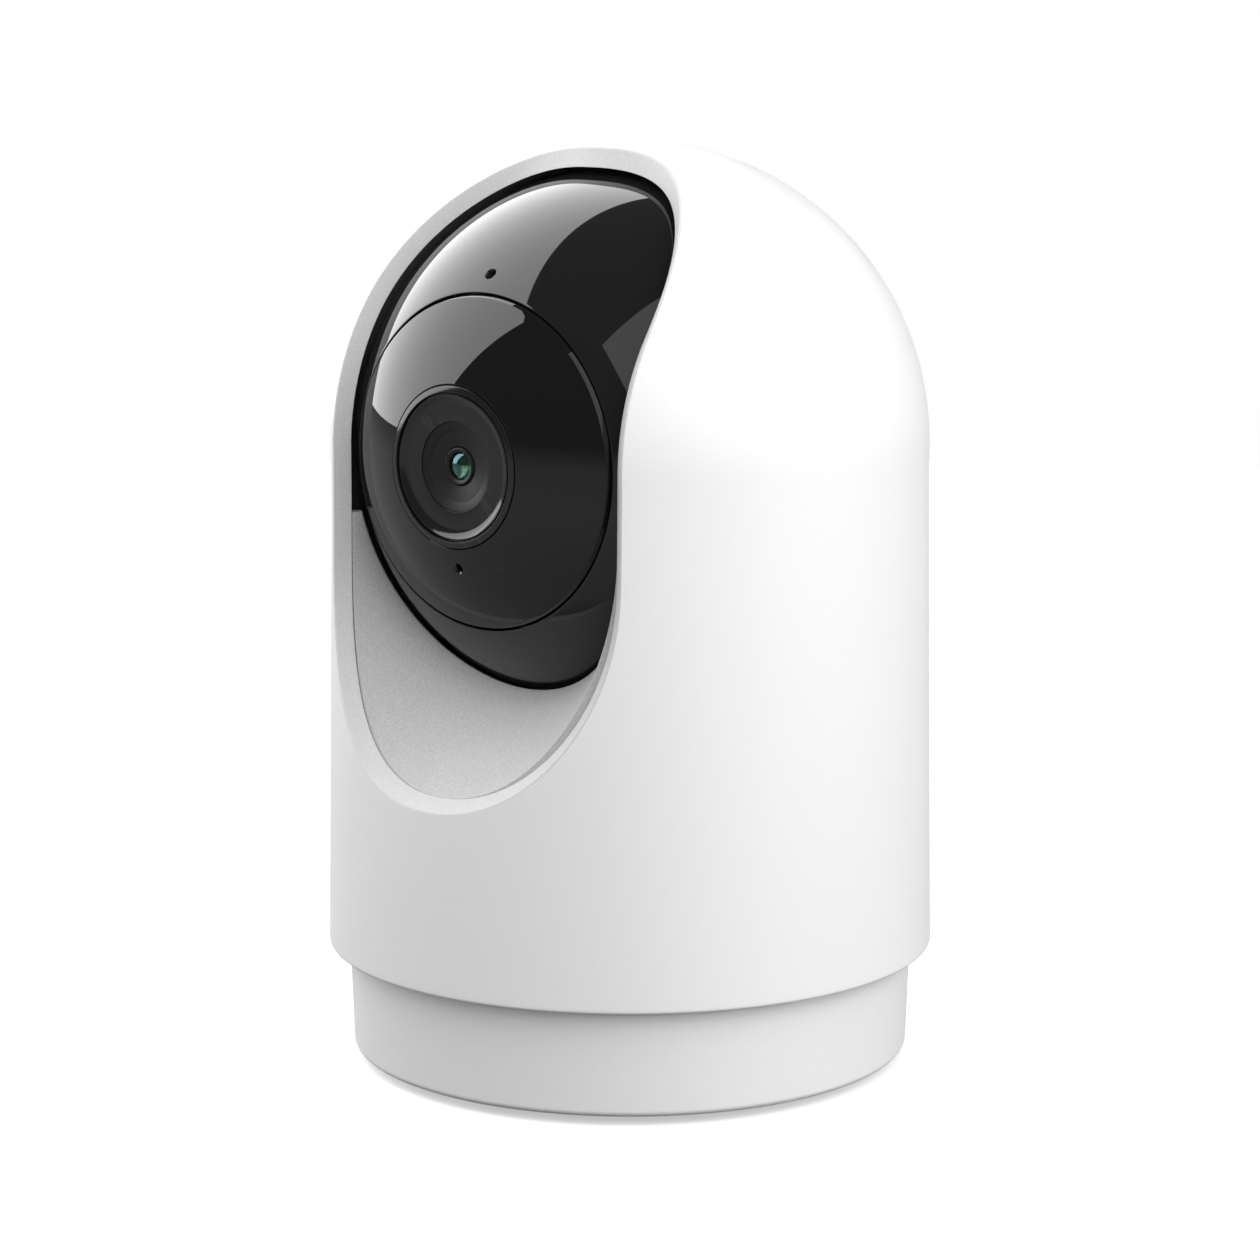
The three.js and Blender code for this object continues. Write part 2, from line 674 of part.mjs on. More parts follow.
// The tinted window over the lens, a shallow dish a little flatter than the ball.
function faceCover() {
  const rim = COVER_SEAM_RADIUS - COVER_EDGE_GAP;
  const hole = LENS_RING_RADIUS + 0.2;
  const capAngle = (radius, curvature) => Math.acos(radius / curvature) / DEGREE;
  const outside = COVER_RADIUS_OF_CURVATURE;
  const inside = COVER_RADIUS_OF_CURVATURE - COVER_THICKNESS;
  const lip = 18.8;
  const outline = [
    [lip, COVER_LEDGE + GAP],
    [rim, COVER_LEDGE + GAP],
    ...arc(outside, COVER_CENTRE, capAngle(rim, outside), capAngle(hole, outside), 6),
    ...arc(inside, COVER_CENTRE, capAngle(hole, inside), capAngle(lip, inside), 4),
  ];
  const microphoneHole = disc(MICROPHONE_HOLE_RADIUS, 28, 40, 10).rotateX(-MICROPHONE_ELEVATION * DEGREE);
  return aimed(cut(turnedRing(outline, 40), microphoneHole));
}

// The ring round the lens: an outer band, a groove, a raised bezel and a conical well.
function lensRing() {
  const back = 29;
  const throat = 2.4;
  return aimed(turnedRing([
    [throat, back],
    [LENS_RING_RADIUS, back],
    [LENS_RING_RADIUS, LENS_FACE + 0.2],
    [9.1, LENS_FACE + 0.1],
    [9, LENS_FACE - 0.9],
    [8.4, LENS_FACE - 0.9],
    [8.35, LENS_FACE - 0.4],
    [7.85, LENS_FACE],
    [5.5, LENS_FACE],
    [5.5, LENS_FACE - 0.3],
    [throat, LENS_FACE - 1.6],
  ], 32));
}

function lensBarrel() {
  const back = 9;
  const shoulder = 28.5;
  const pupil = 1.8;
  const lip = 31.2;
  const seat = 29.2;
  return aimed(turned([
    [0, back],
    [7, back],
    [7, shoulder],
    [pupil + 0.4, shoulder],
    [pupil + 0.4, lip],
    [pupil, lip],
    [pupil, seat],
    [0, seat],
  ]));
}

function frontLensElement() {
  return aimed(turned([[0, 29.5], [1.6, 29.5], [1.6, 30.6], [1, 31], [0, 31.15]], 20));
}

function lensHolder() {
  const housing = block([-15.5, 9], [-10, 10], [5.4, 14]);
  const bore = disc(7.3, 8.6, 20, 24);
  const filterTrack = block([-14.6, 5.6], [-5.3, 5.3], [7.2, 8.8]);
  const sensorWindow = block([-5, 5], [-4.5, 4.5], [5, 7.4]);
  return aimed(cut(housing, bore, filterTrack, sensorWindow));
}

function infraredBoard() {
  return aimed(ring(17.7, 11.2, 22.5, 23.7, 32));
}

function infraredLed(angle) {
  const radius = 14.4;
  const body = join(block([-1.7, 1.7], [-1.4, 1.4], [24, 25.2]), disc(1.1, 25, 26, 16));
  return aimed(body.translate(radius * Math.cos(angle), radius * Math.sin(angle), 0));
}

function cardSlot() {
  const can = block([-6.8, 6.8], [-1.2, 1.2], [16.5, 31]);
  const mouth = block([-5.7, 5.7], [-0.6, 0.6], [18, 33]);
  return aimed(cut(can, mouth), CARD_ELEVATION);
}

function resetButton() {
  const foot = 29;
  const flangeTop = foot + 0.8;
  const tip = 34.3;
  const stem = turned([
    [0, foot],
    [2, foot],
    [2, flangeTop],
    [BUTTON_RADIUS, flangeTop],
    [BUTTON_RADIUS, tip],
    [0, tip],
  ], 16);
  return aimed(cut(stem.translate(BUTTON_X, 0, 0), buttonTipCutter()), CARD_ELEVATION);
}

// Everything outside the ball's own curve, so the button's tip follows it, slightly recessed.
function buttonTipCutter() {
  const recess = 0.2;
  const reach = 5;
  const sphere = new THREE.SphereGeometry(BALL_RADIUS - recess, 32, 16);
  return cut(block([BUTTON_X - reach, BUTTON_X + reach], [-reach, reach], [32.6, 40]), sphere);
}

// ---------------------------------------------------------------- assembly

const camera = new THREE.Group();

function part(parent, name, geometry, material, position = [0, 0, 0], rotation = [0, 0, 0]) {
  const mesh = new THREE.Mesh(geometry, material);
  mesh.name = name;
  mesh.position.set(...position);
  mesh.rotation.set(...rotation);
  parent.add(mesh);
}

function addBase() {
  const base = new THREE.Group();
  camera.add(base);
  part(base, 'base_housing', baseHousing(), materials.whiteShell());
  part(base, 'base_bottom_plate', baseBottomPlate(), materials.innerWhite());
  footPlaces().forEach(([x, y], i) => {
    part(base, `foot_pad_${i + 1}`, footPad(), materials.rubber(), [x, y, 0]);
  });
  const headHeight = 0.6;
  screwPlaces(BASE_SCREW_CIRCLE).forEach(([x, y], i) => {
    const baseScrew = screw(SCREW_HEAD_RADIUS, headHeight, 9);
    part(base, `base_screw_${i + 1}`, baseScrew, materials.steel(), [x, y, BOTTOM_PLATE_Z + 0.7]);
  });
  part(base, 'ballast_plate', ballastPlate(), materials.steel(), [0, 0, 3.8]);
  part(base, 'power_board', block([-14, 14], [8.5, 29], [5.2, 6.6]), materials.board());
  part(base, 'usb_port', usbPort(), materials.steel());
  part(base, 'tripod_insert', tripodInsert(), materials.brass());
  const gearTurn = [0, 0, -Math.PI / 2];
  const panGear = gear(PAN_GEAR_TEETH, PAN_MODULE, SPINDLE_RADIUS + GAP, PAN_GEAR_FACE);
  part(base, 'pan_gear', panGear, materials.gear(), [0, 0, PAN_GEAR_Z], gearTurn);
  part(base, 'pan_glide_ring', ring(29, 26, BASE_TOP + GAP, TURNTABLE_Z - GAP, 32), materials.gear());
  const retainer = ring(10.5, SPINDLE_BORE, SPINDLE_TOP + GAP, SPINDLE_TOP + 1.5);
  part(base, 'pan_retainer', retainer, materials.steel());
}

function addPanBody() {
  const body = new THREE.Group();
  camera.add(body);
  part(body, 'body_shell', bodyShell(), materials.whiteShell());
  part(body, 'front_bezel', frontBezel(), materials.whiteTexture());
  part(body, 'turntable', turntable(), materials.innerWhite());
  screwPlaces(SHELL_SCREW_CIRCLE).forEach(([x, y], i) => {
    const shellScrew = screw(SCREW_HEAD_RADIUS, 1.2, 8);
    part(body, `shell_screw_${i + 1}`, shellScrew, materials.steel(), [x, y, TURNTABLE_Z - 0.1]);
  });
  part(body, 'chassis', chassis(), materials.innerWhite());
  part(body, 'tilt_bush_right', tiltBush(), materials.gear(), [ARM_INNER_X, 0, BALL_Z]);
  part(body, 'tilt_bush_left', tiltBush(), materials.gear(), [-ARM_OUTER_X, 0, BALL_Z]);
  const tiltGear = gear(TILT_GEAR_TEETH, TILT_MODULE, TRUNNION_RADIUS + GAP, TILT_GEAR_FACE);
  const tiltGearTurn = [0, Math.PI / 2, Math.PI / 2];
  part(body, 'tilt_gear', tiltGear, materials.gear(), [TILT_GEAR_X, 0, BALL_Z], tiltGearTurn);
  const motorZ = CHASSIS_Z + CHASSIS_THICKNESS + GAP;
  part(body, 'pan_motor', stepper(10, 12.8), materials.steel(), [0, -PAN_CENTRES, motorZ]);
  const facingBack = [-Math.PI / 2, 0, 0];
  part(body, 'speaker', speaker(), materials.blackMatt(), [0, 24.5, SPEAKER_Z], facingBack);
  part(body, 'speaker_cone', speakerCone(), materials.blackMatt(), [0, 27.2, SPEAKER_Z], facingBack);
  part(body, 'flex_cable', flexCable(), materials.cable());
  addPanPinion(body);
}

function addPanPinion(body) {
  const pinion = new THREE.Group();
  pinion.position.set(0, -PAN_CENTRES, 0);
  body.add(pinion);
  const pinionTurn = [0, 0, Math.PI / 2 + Math.PI / PAN_PINION_TEETH];
  const panPinion = gear(PAN_PINION_TEETH, PAN_MODULE, 1.6, PAN_GEAR_FACE);
  part(pinion, 'pan_pinion', panPinion, materials.gear(), [0, 0, PAN_GEAR_Z], pinionTurn);
  part(pinion, 'pan_motor_shaft', disc(1.5, PAN_GEAR_Z + GAP, 27.4, 16), materials.steel());
}

function addBall() {
  const ball = new THREE.Group();
  ball.position.set(0, 0, BALL_Z);
  camera.add(ball);
  part(ball, 'ball_front_shell', ballFrontShell(), materials.blackGloss());
  part(ball, 'ball_rear_shell', ballRearShell(), materials.blackGloss());
  addOptics(ball);
  addElectronics(ball);
  const motorEnd = BALL_HALF_WIDTH - BALL_WALL - GAP;
  const motorPlace = [motorEnd, TILT_CENTRES, 0];
  part(ball, 'tilt_motor', stepper(8, 9), materials.steel(), motorPlace, [0, -Math.PI / 2, 0]);
  addTiltPinion(ball, motorEnd);
}

function addOptics(ball) {
  part(ball, 'face_cover', faceCover(), materials.blackGloss());
  part(ball, 'lens_ring', lensRing(), materials.blackGloss());
  part(ball, 'lens_barrel', lensBarrel(), materials.blackMatt());
  part(ball, 'front_lens_element', frontLensElement(), materials.glass());
  part(ball, 'lens_holder', lensHolder(), materials.blackMatt());
  const filter = aimed(block([-4.8, 4.8], [-4.8, 4.8], [7.6, 8.3]));
  part(ball, 'ir_cut_filter', filter, materials.glass());
  part(ball, 'image_sensor', aimed(block([-4, 4], [-3.5, 3.5], [5.3, 6.4])), materials.blackMatt());
  part(ball, 'sensor_board', aimed(block([-15, 15], [-12, 12], [3.7, 5])), materials.board());
  part(ball, 'ir_led_board', infraredBoard(), materials.board());
  [45, 135, 225, 315].forEach((angle, i) => {
    part(ball, `ir_led_${i + 1}`, infraredLed(angle * DEGREE), materials.glass());
  });
}

function addElectronics(ball) {
  const lightPipe = aimed(disc(STATUS_HOLE_RADIUS - 0.12, 29, BALL_RADIUS - 0.8, 12), STATUS_ELEVATION);
  part(ball, 'status_light_pipe', lightPipe, materials.glass());
  part(ball, 'microphone', aimed(block([-2, 2], [-14.4, -11.4], [24, 25.2])), materials.steel());
  part(ball, 'main_board', block([-21, 12.8], [-1.4, 0.2], [-21, 21]), materials.board());
  part(ball, 'processor_shield', block([-14, 8], [0.5, 2.7], [-9, 12]), materials.steel());
  part(ball, 'sd_card_slot', cardSlot(), materials.steel());
  part(ball, 'reset_button', resetButton(), materials.blackMatt());
  const switchWidth = [BUTTON_X - 2, BUTTON_X + 2];
  const resetSwitch = aimed(block(switchWidth, [-1.8, 1.8], [26.4, 28.3]), CARD_ELEVATION);
  part(ball, 'reset_switch', resetSwitch, materials.blackMatt());
  [1, -1].forEach((side, i) => {
    const place = [BALL_SCREW_OFFSET, BALL_SCREW_SEAT_Y + 0.1, side * BALL_SCREW_OFFSET];
    part(ball, `ball_screw_${i + 1}`, screw(2, 1, 21), materials.steel(), place, [Math.PI / 2, 0, 0]);
  });
}

function addTiltPinion(ball, motorEnd) {
  const pinion = new THREE.Group();
  pinion.position.set(0, TILT_CENTRES, 0);
  ball.add(pinion);
  const pinionTurn = [0, Math.PI / 2, Math.PI / 2 + Math.PI / TILT_PINION_TEETH];
  const tiltPinion = gear(TILT_PINION_TEETH, TILT_MODULE, 1.4, TILT_GEAR_FACE);
  part(pinion, 'tilt_pinion', tiltPinion, materials.gear(), [TILT_GEAR_X, 0, 0], pinionTurn);
  const shaft = bar(1.3, motorEnd + GAP, TILT_GEAR_X + TILT_GEAR_FACE - GAP, 16);
  part(pinion, 'tilt_motor_shaft', shaft, materials.steel());
}

addBase();
addPanBody();
addBall();

export default camera;
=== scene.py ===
"""Looks of an indoor pan-and-tilt security camera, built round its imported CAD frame.

Lengths are millimetres until a mesh is made. The lens looks towards -Y and +Z is up.
"""

import json
import math

import bmesh
import bpy
import numpy as np
from mathutils import Matrix, Vector

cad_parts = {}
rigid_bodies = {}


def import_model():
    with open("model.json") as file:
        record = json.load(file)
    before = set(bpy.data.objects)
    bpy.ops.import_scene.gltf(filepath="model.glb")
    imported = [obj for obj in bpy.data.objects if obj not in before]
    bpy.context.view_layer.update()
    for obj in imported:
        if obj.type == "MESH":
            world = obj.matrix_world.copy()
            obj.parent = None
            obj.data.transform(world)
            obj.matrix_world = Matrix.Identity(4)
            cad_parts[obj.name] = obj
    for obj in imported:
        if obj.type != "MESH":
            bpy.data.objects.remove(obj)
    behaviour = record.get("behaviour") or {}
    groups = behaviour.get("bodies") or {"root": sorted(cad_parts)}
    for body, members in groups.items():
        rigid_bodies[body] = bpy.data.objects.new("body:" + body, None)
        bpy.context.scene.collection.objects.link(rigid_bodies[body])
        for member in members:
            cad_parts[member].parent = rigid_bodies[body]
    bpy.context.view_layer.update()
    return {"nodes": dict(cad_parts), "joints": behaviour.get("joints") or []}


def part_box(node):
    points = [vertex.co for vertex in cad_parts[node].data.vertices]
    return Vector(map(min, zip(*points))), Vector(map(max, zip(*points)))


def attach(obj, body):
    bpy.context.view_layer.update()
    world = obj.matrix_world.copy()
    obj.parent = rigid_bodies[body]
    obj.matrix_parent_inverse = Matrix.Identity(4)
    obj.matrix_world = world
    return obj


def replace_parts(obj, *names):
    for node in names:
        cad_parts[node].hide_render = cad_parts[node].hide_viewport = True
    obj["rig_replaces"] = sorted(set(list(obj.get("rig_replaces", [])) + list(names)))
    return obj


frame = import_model()

MM = 0.001
# Edges whose faces turn by more than this many degrees are shaded sharp.
SHARP_ANGLE = 32.0
SAME_POINT = 2e-8

# -------- places taken from the frame


def extent(node):
    """The low and high corners of a CAD node's box."""
    low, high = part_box(node)
    return [value / MM for value in low], [value / MM for value in high]


def mid_height(node):
    low, high = extent(node)
    return (low[2] + high[2]) / 2


SHELL_LOW, SHELL_HIGH = extent("body_shell")
BASE_LOW, BASE_HIGH = extent("base_housing")
TILT = next(j for j in frame["joints"] if j["name"] == "tilt")
BALL_CENTRE = np.array(TILT["pos_m"]) / MM
BALL_Z = float(BALL_CENTRE[2])
SHELL_BOTTOM = SHELL_LOW[2]
SHELL_RIM_RADIUS = SHELL_HIGH[0]
DOME_RADIUS = SHELL_HIGH[2] - BALL_Z
BALL_HALF_WIDTH, BALL_RADIUS, _ = extent("ball_rear_shell")[1]

# -------- mesh helpers


def finish_mesh(obj, sharp=SHARP_ANGLE):
    obj.data.shade_smooth()
    obj.data.set_sharp_from_angle(angle=math.radians(sharp))
    weighted = obj.modifiers.new("even_normals", "WEIGHTED_NORMAL")
    weighted.keep_sharp = True
    return obj


def add_object(name, data):
    obj = bpy.data.objects.new(name, data)
    bpy.context.scene.collection.objects.link(obj)
    return obj


def make_object(name, vertices, faces, material, place=None, sharp=SHARP_ANGLE):
    points = np.asarray(vertices, float)
    if place is not None:
        turn = np.array(place.to_3x3())
        points = points @ turn.T + np.array(place.to_translation())
    mesh = bpy.data.meshes.new(name)
    mesh.from_pydata((points * MM).tolist(), [], faces)
    shape = bmesh.new()
    shape.from_mesh(mesh)
    bmesh.ops.remove_doubles(shape, verts=shape.verts, dist=SAME_POINT)
    bmesh.ops.recalc_face_normals(shape, faces=shape.faces)
    shape.to_mesh(mesh)
    shape.free()
    mesh.materials.append(material)
    return finish_mesh(add_object(name, mesh), sharp)


def loft(name, rings, material, wrap_rings=False, cap_ends=False, place=None, sharp=SHARP_ANGLE):
    """Quadrilaterals between closed rings that all have the same number of points."""
    rings = np.asarray(rings, float)
    count, width = rings.shape[:2]
    faces = []
    for k in range(count if wrap_rings else count - 1):
        a, b = k * width, ((k + 1) % count) * width
        for i in range(width):
            j = (i + 1) % width
            faces.append((a + i, a + j, b + j, b + i))
    if cap_ends:
        faces.append(tuple(range(width))[::-1])
        faces.append(tuple(range((count - 1) * width, count * width)))
    return make_object(name, rings.reshape(-1, 3), faces, material, place, sharp)


def rounded(corners, steps=5, closed=True):
    """A polyline of (point, fillet) corners with each filleted corner replaced by an arc."""
    places = [np.asarray(point, float) for point, _ in corners]
    line = []
    for i, (_, fillet) in enumerate(corners):
        here = places[i]
        at_end = not closed and i in (0, len(corners) - 1)
        if not fillet or at_end:
            line.append(here)
            continue
        before = places[i - 1] - here
        after = places[(i + 1) % len(places)] - here
        room = 0.48 * min(np.linalg.norm(before), np.linalg.norm(after))
        before, after = before / np.linalg.norm(before), after / np.linalg.norm(after)
        half = math.acos(float(np.clip(before @ after, -1, 1))) / 2
        reach = min(fillet / math.tan(half), room)
        radius = reach * math.tan(half)
        middle = before + after
        centre = here + middle / np.linalg.norm(middle) * radius / math.sin(half)
        start, end = here + before * reach - centre, here + after * reach - centre
        sweep = math.pi - 2 * half
        for k in range(steps + 1):
            part = k / steps
            spoke = math.sin((1 - part) * sweep) * start + math.sin(part * sweep) * end
            line.append(centre + spoke / math.sin(sweep))
    return line


def outline(*corners, steps=5, closed=True):
    """(radius, height) or (radius, height, fillet) corners as a rounded polyline."""
    return rounded([(c[:2], c[2] if len(c) > 2 else 0) for c in corners], steps, closed)


def arc(radius, centre, first, last, steps):
    """(radius, height) points on a circle about the axis; angles in degrees from the axis."""
    angles = np.radians(np.linspace(first, last, steps + 1))
    return [(radius * math.sin(a), centre + radius * math.cos(a)) for a in angles]


def circle(radius, segments=48):
    angles = np.linspace(0, 2 * math.pi, segments, endpoint=False)
    return np.stack([np.cos(angles), np.sin(angles)], 1) * radius


def around(radius, degrees):
    """(x, y) places on a circle about the pan axis."""
    return [(radius * math.cos(math.radians(a)), radius * math.sin(math.radians(a))) for a in degrees]


def lathe(name, line, material, segments=160, place=None, closed=True, sharp=SHARP_ANGLE):
    """A (radius, height) line turned about +Z; an open line starts and ends on the axis."""
    wheel = circle(1.0, segments)
    rings = [np.column_stack([wheel * max(r, 0), np.full(segments, z)]) for r, z in line]
    return loft(name, rings, material, wrap_rings=closed, place=place, sharp=sharp)


def rounded_box(half_x, half_y, radius, steps=6):
    corners = [((half_x, -half_y), radius), ((half_x, half_y), radius)]
    corners += [((-half_x, half_y), radius), ((-half_x, -half_y), radius)]
    return rounded(corners, steps)


def stacked(flat, levels):
    """Rings from a flat outline: each level is (height, growth of the outline)."""
    flat = np.asarray(flat, float)
    tangent = np.roll(flat, -1, 0) - np.roll(flat, 1, 0)
    outward = np.column_stack([tangent[:, 1], -tangent[:, 0]])
    outward /= np.linalg.norm(outward, axis=1, keepdims=True)
    return [np.column_stack([flat + outward * grown, np.full(len(flat), z)]) for z, grown in levels]


def prism(name, flat, levels, material, place=None):
    return loft(name, stacked(flat, levels), material, cap_ends=True, place=place)


def round_bar(name, radius, low, high, material, place=None, segments=48):
    return prism(name, circle(radius, segments), [(low, 0), (high, 0)], material, place)


def carve(target, tools, operation="DIFFERENCE", sharp=SHARP_ANGLE):
    target.modifiers.clear()
    kept = list(target.data.materials)
    for tool in tools:
        tool.modifiers.clear()
        change = target.modifiers.new("carve", "BOOLEAN")
        change.operation = operation
        change.solver = "EXACT"
        change.object = tool
        bpy.context.view_layer.update()
        shown = target.evaluated_get(bpy.context.evaluated_depsgraph_get())
        mesh = bpy.data.meshes.new_from_object(shown)
        target.modifiers.clear()
        old = target.data
        target.data = mesh
        bpy.data.meshes.remove(old)
        bpy.data.objects.remove(tool)
    target.data.materials.clear()
    for material in kept:
        target.data.materials.append(material)
    for face in target.data.polygons:
        face.material_index = 0
    return finish_mesh(target, sharp)


def stands_for(piece, body, slot, *nodes):
    """States a piece's body and the CAD nodes that it replaces; its slot is not used."""
    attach(piece, body)
    if nodes:
        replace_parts(piece, *nodes)
    return piece


def upright(x, y, z=0.0):
    return Matrix.Translation((x, y, z))


def facing_back(y, z=0.0):
    """Turns a piece made along +Z to run along +Y, its own Y upwards."""
    return upright(0, y, z) @ Matrix.Rotation(math.radians(-90), 4, "X")


def optical(elevation=0.0, across=0.0):
    """Turns a piece made along +Z to the lens axis about the ball's centre, raised by degrees."""
    turn = Matrix.Rotation(math.radians(90 - elevation), 4, "X")
    return upright(*BALL_CENTRE) @ turn @ upright(across, 0)


# -------- materials


class Surface:
    """A material's node tree with short calls for the nodes used here."""

    def __init__(self, name):
        self.material = bpy.data.materials.new(name)
        self.material.use_nodes = True
        tree = self.material.node_tree
        self.nodes, self.links = tree.nodes, tree.links
        self.shader = self.nodes["Principled BSDF"]
        self.place = self.nodes.new("ShaderNodeTexCoord").outputs["Object"]

    def link(self, source, target):
        self.links.new(source, target)

    def put(self, value, socket):
        """Gives a socket a number, a colour or another node's output."""
        if isinstance(value, tuple):
            socket.default_value = (*value, 1.0)
        elif isinstance(value, (int, float)):
            socket.default_value = value
        else:
            self.link(value, socket)

    def stretched(self, scale):
        mapping = self.nodes.new("ShaderNodeMapping")
        mapping.inputs["Scale"].default_value = scale
        self.link(self.place, mapping.inputs["Vector"])
        return mapping.outputs["Vector"]

    def noise(self, size, detail=2.0, place=None):
        """Noise whose features are about size millimetres."""
        noise = self.nodes.new("ShaderNodeTexNoise")
        noise.inputs["Scale"].default_value = 1 / (size * MM)
        noise.inputs["Detail"].default_value = detail
        self.link(place or self.place, noise.inputs["Vector"])
        return noise.outputs["Fac"]

    def cells(self, size, feature="F1", randomness=1.0):
        """Distance to points scattered about size millimetres apart."""
        cells = self.nodes.new("ShaderNodeTexVoronoi")
        cells.feature = feature
        cells.inputs["Scale"].default_value = 1 / (size * MM)
        cells.inputs["Randomness"].default_value = randomness
        self.link(self.place, cells.inputs["Vector"])
        return cells.outputs["Distance"]

    def bands(self, size, axis):
        """Even bands across an axis."""
        wave = self.nodes.new("ShaderNodeTexWave")
        wave.bands_direction = axis
        wave.inputs["Scale"].default_value = 1 / (size * MM) / math.pi
        self.link(self.place, wave.inputs["Vector"])
        return wave.outputs["Fac"]

    def remap(self, source, low, high, to_low, to_high):
        remap = self.nodes.new("ShaderNodeMapRange")
        ends = {"From Min": low, "From Max": high, "To Min": to_low, "To Max": to_high}
        for key, value in ends.items():
            remap.inputs[key].default_value = value
        self.link(source, remap.inputs["Value"])
        return remap.outputs["Result"]

    def math(self, operation, first, second):
        node = self.nodes.new("ShaderNodeMath")
        node.operation = operation
        self.put(first, node.inputs[0])
        self.put(second, node.inputs[1])
        return node.outputs["Value"]

    def blend(self, factor, first, second):
        mix = self.nodes.new("ShaderNodeMix")
        mix.data_type = "RGBA"
        for index, value in ((0, factor), (6, first), (7, second)):
            self.put(value, mix.inputs[index])
        return mix.outputs[2]

    def edges(self, start=0.505, end=0.56):
        """0 on flat and hollow places, 1 on sharp outer edges."""
        geometry = self.nodes.new("ShaderNodeNewGeometry")
        return self.remap(geometry.outputs["Pointiness"], start, end, 0, 1)

    def bump(self, height, depth, below=None):
        bump = self.nodes.new("ShaderNodeBump")
        bump.inputs["Distance"].default_value = depth * MM
        self.link(height, bump.inputs["Height"])
        if below is not None:
            self.link(below, bump.inputs["Normal"])
        return bump.outputs["Normal"]

    def set(self, **values):
        for key, value in values.items():
            self.put(value, self.shader.inputs[key.replace("_", " ")])
        return self.material


def moulded(name, colour, roughness, grain, depth, spread=0.04, tone=0.96, worn=None, **sockets):
    """Moulded plastic or rubber: fine grain, slow changes in gloss and tone, lightly worn edges."""
    s = Surface(name)
    broad = s.noise(9.0, 3.0)
    fine = s.noise(grain, 2.0)
    edge = s.math("MULTIPLY", s.edges(), s.remap(s.noise(1.3, 3.0), 0.35, 0.65, 0.1, 1.0))
    gloss = s.remap(broad, 0.3, 0.7, roughness - spread, roughness + spread)
    gloss = s.math("ADD", gloss, s.math("MULTIPLY", edge, spread))
    dark = tuple(c * tone for c in colour)
    shade = s.blend(s.remap(fine, 0.3, 0.7, 0, 1), dark, colour)
    shade = s.blend(edge, shade, worn or tuple(min(1.0, c * 1.04) for c in colour))
    waves = s.bump(s.noise(6.0, 1.0), depth * 1.5)
    return s.set(Base_Color=shade, Roughness=gloss, Normal=s.bump(fine, depth, waves), **sockets)


def spark_eroded(name, colour, contrast=0.22, depth=0.028):
    """The fine pitted texture that a spark-eroded mould leaves."""
    s = Surface(name)
    pits = s.cells(0.2, feature="SMOOTH_F1")
    fine = s.noise(0.13, 3.0)
    height = s.math("ADD", s.math("MULTIPLY", pits, 0.7), s.math("MULTIPLY", fine, 0.6))
    dark = tuple(c * (1 - contrast) for c in colour)
    shade = s.blend(s.remap(height, 0.35, 0.75, 0, 1), dark, colour)
    gloss = s.remap(s.noise(7.0, 2.0), 0.3, 0.7, 0.6, 0.7)
    return s.set(Base_Color=shade, Roughness=gloss, Normal=s.bump(height, depth))


def high_gloss(name, colour, roughness, ior):
    """Polished black plastic: faint moulding waves, slow haze, hairline scratches."""
    s = Surface(name)
    haze = s.remap(s.noise(7.0, 4.0), 0.3, 0.75, roughness, roughness + 0.012)
    hairs = s.noise(0.35, 2.0, s.stretched((1, 0.05, 0.3)))
    hairs = s.remap(hairs, 0.66, 0.74, 0, 0.05)
    edge = s.edges(0.51, 0.6)
    gloss = s.math("ADD", s.math("ADD", haze, hairs), s.math("MULTIPLY", edge, 0.06))
    shade = s.blend(edge, colour, tuple(c * 2.2 for c in colour))
    waves = s.bump(s.noise(5.0, 1.0), 0.0012)
    return s.set(Base_Color=shade, Roughness=gloss, IOR=ior, Normal=waves)


def coated_glass(name, colour, film):
    """Clear glass with a thin film, whose thickness in nanometres gives its coloured gleam."""
    s = Surface(name)
    gloss = s.remap(s.noise(0.8, 3.0), 0.3, 0.7, 0.01, 0.03)
    dark = tuple(c * 0.9 for c in colour)
    shade = s.blend(s.remap(s.noise(1.5, 1.0), 0.3, 0.7, 0, 1), dark, colour)
    return s.set(
        Base_Color=shade, Roughness=gloss, IOR=1.5, Transmission_Weight=1.0,
        Thin_Film_Thickness=film, Thin_Film_IOR=1.72,
    )


def drawn_metal(name, colour, roughness, stretch):
    """Metal with fine lines along one direction, uneven in tone and brighter at its edges."""
    s = Surface(name)
    lines = s.noise(0.12, 3.0, s.stretched(stretch))
    gloss = s.remap(lines, 0.3, 0.7, roughness - 0.07, roughness + 0.1)
    dark = tuple(c * 0.9 for c in colour)
    shade = s.blend(s.remap(s.noise(4.0, 4.0), 0.35, 0.65, 0, 1), dark, colour)
    shade = s.blend(s.edges(), shade, tuple(min(1.0, c * 1.25) for c in colour))
    return s.set(Base_Color=shade, Roughness=gloss, Metallic=1.0, Normal=s.bump(lines, 0.004))


def circuit_board(name):
    """Green solder mask over copper tracks, with tinned pads."""
    s = Surface(name)
    tracks = s.nodes.new("ShaderNodeTexBrick")
    tracks.inputs["Scale"].default_value = 1 / MM
    tracks.inputs["Brick Width"].default_value = 2.6
    tracks.inputs["Row Height"].default_value = 0.9
    tracks.inputs["Mortar Size"].default_value = 0.16
    s.link(s.place, tracks.inputs["Vector"])
    pads = s.remap(s.cells(1.7, randomness=0.6), 0.2, 0.26, 1, 0)
    mask = s.blend(tracks.outputs["Fac"], (0.006, 0.07, 0.028), (0.02, 0.16, 0.06))
    shade = s.blend(pads, mask, (0.62, 0.6, 0.55))
    height = s.math("ADD", tracks.outputs["Fac"], pads)
    gloss = s.remap(s.noise(0.5, 3.0), 0.3, 0.7, 0.28, 0.42)
    return s.set(Base_Color=shade, Roughness=gloss, Metallic=pads, Normal=s.bump(height, 0.03))


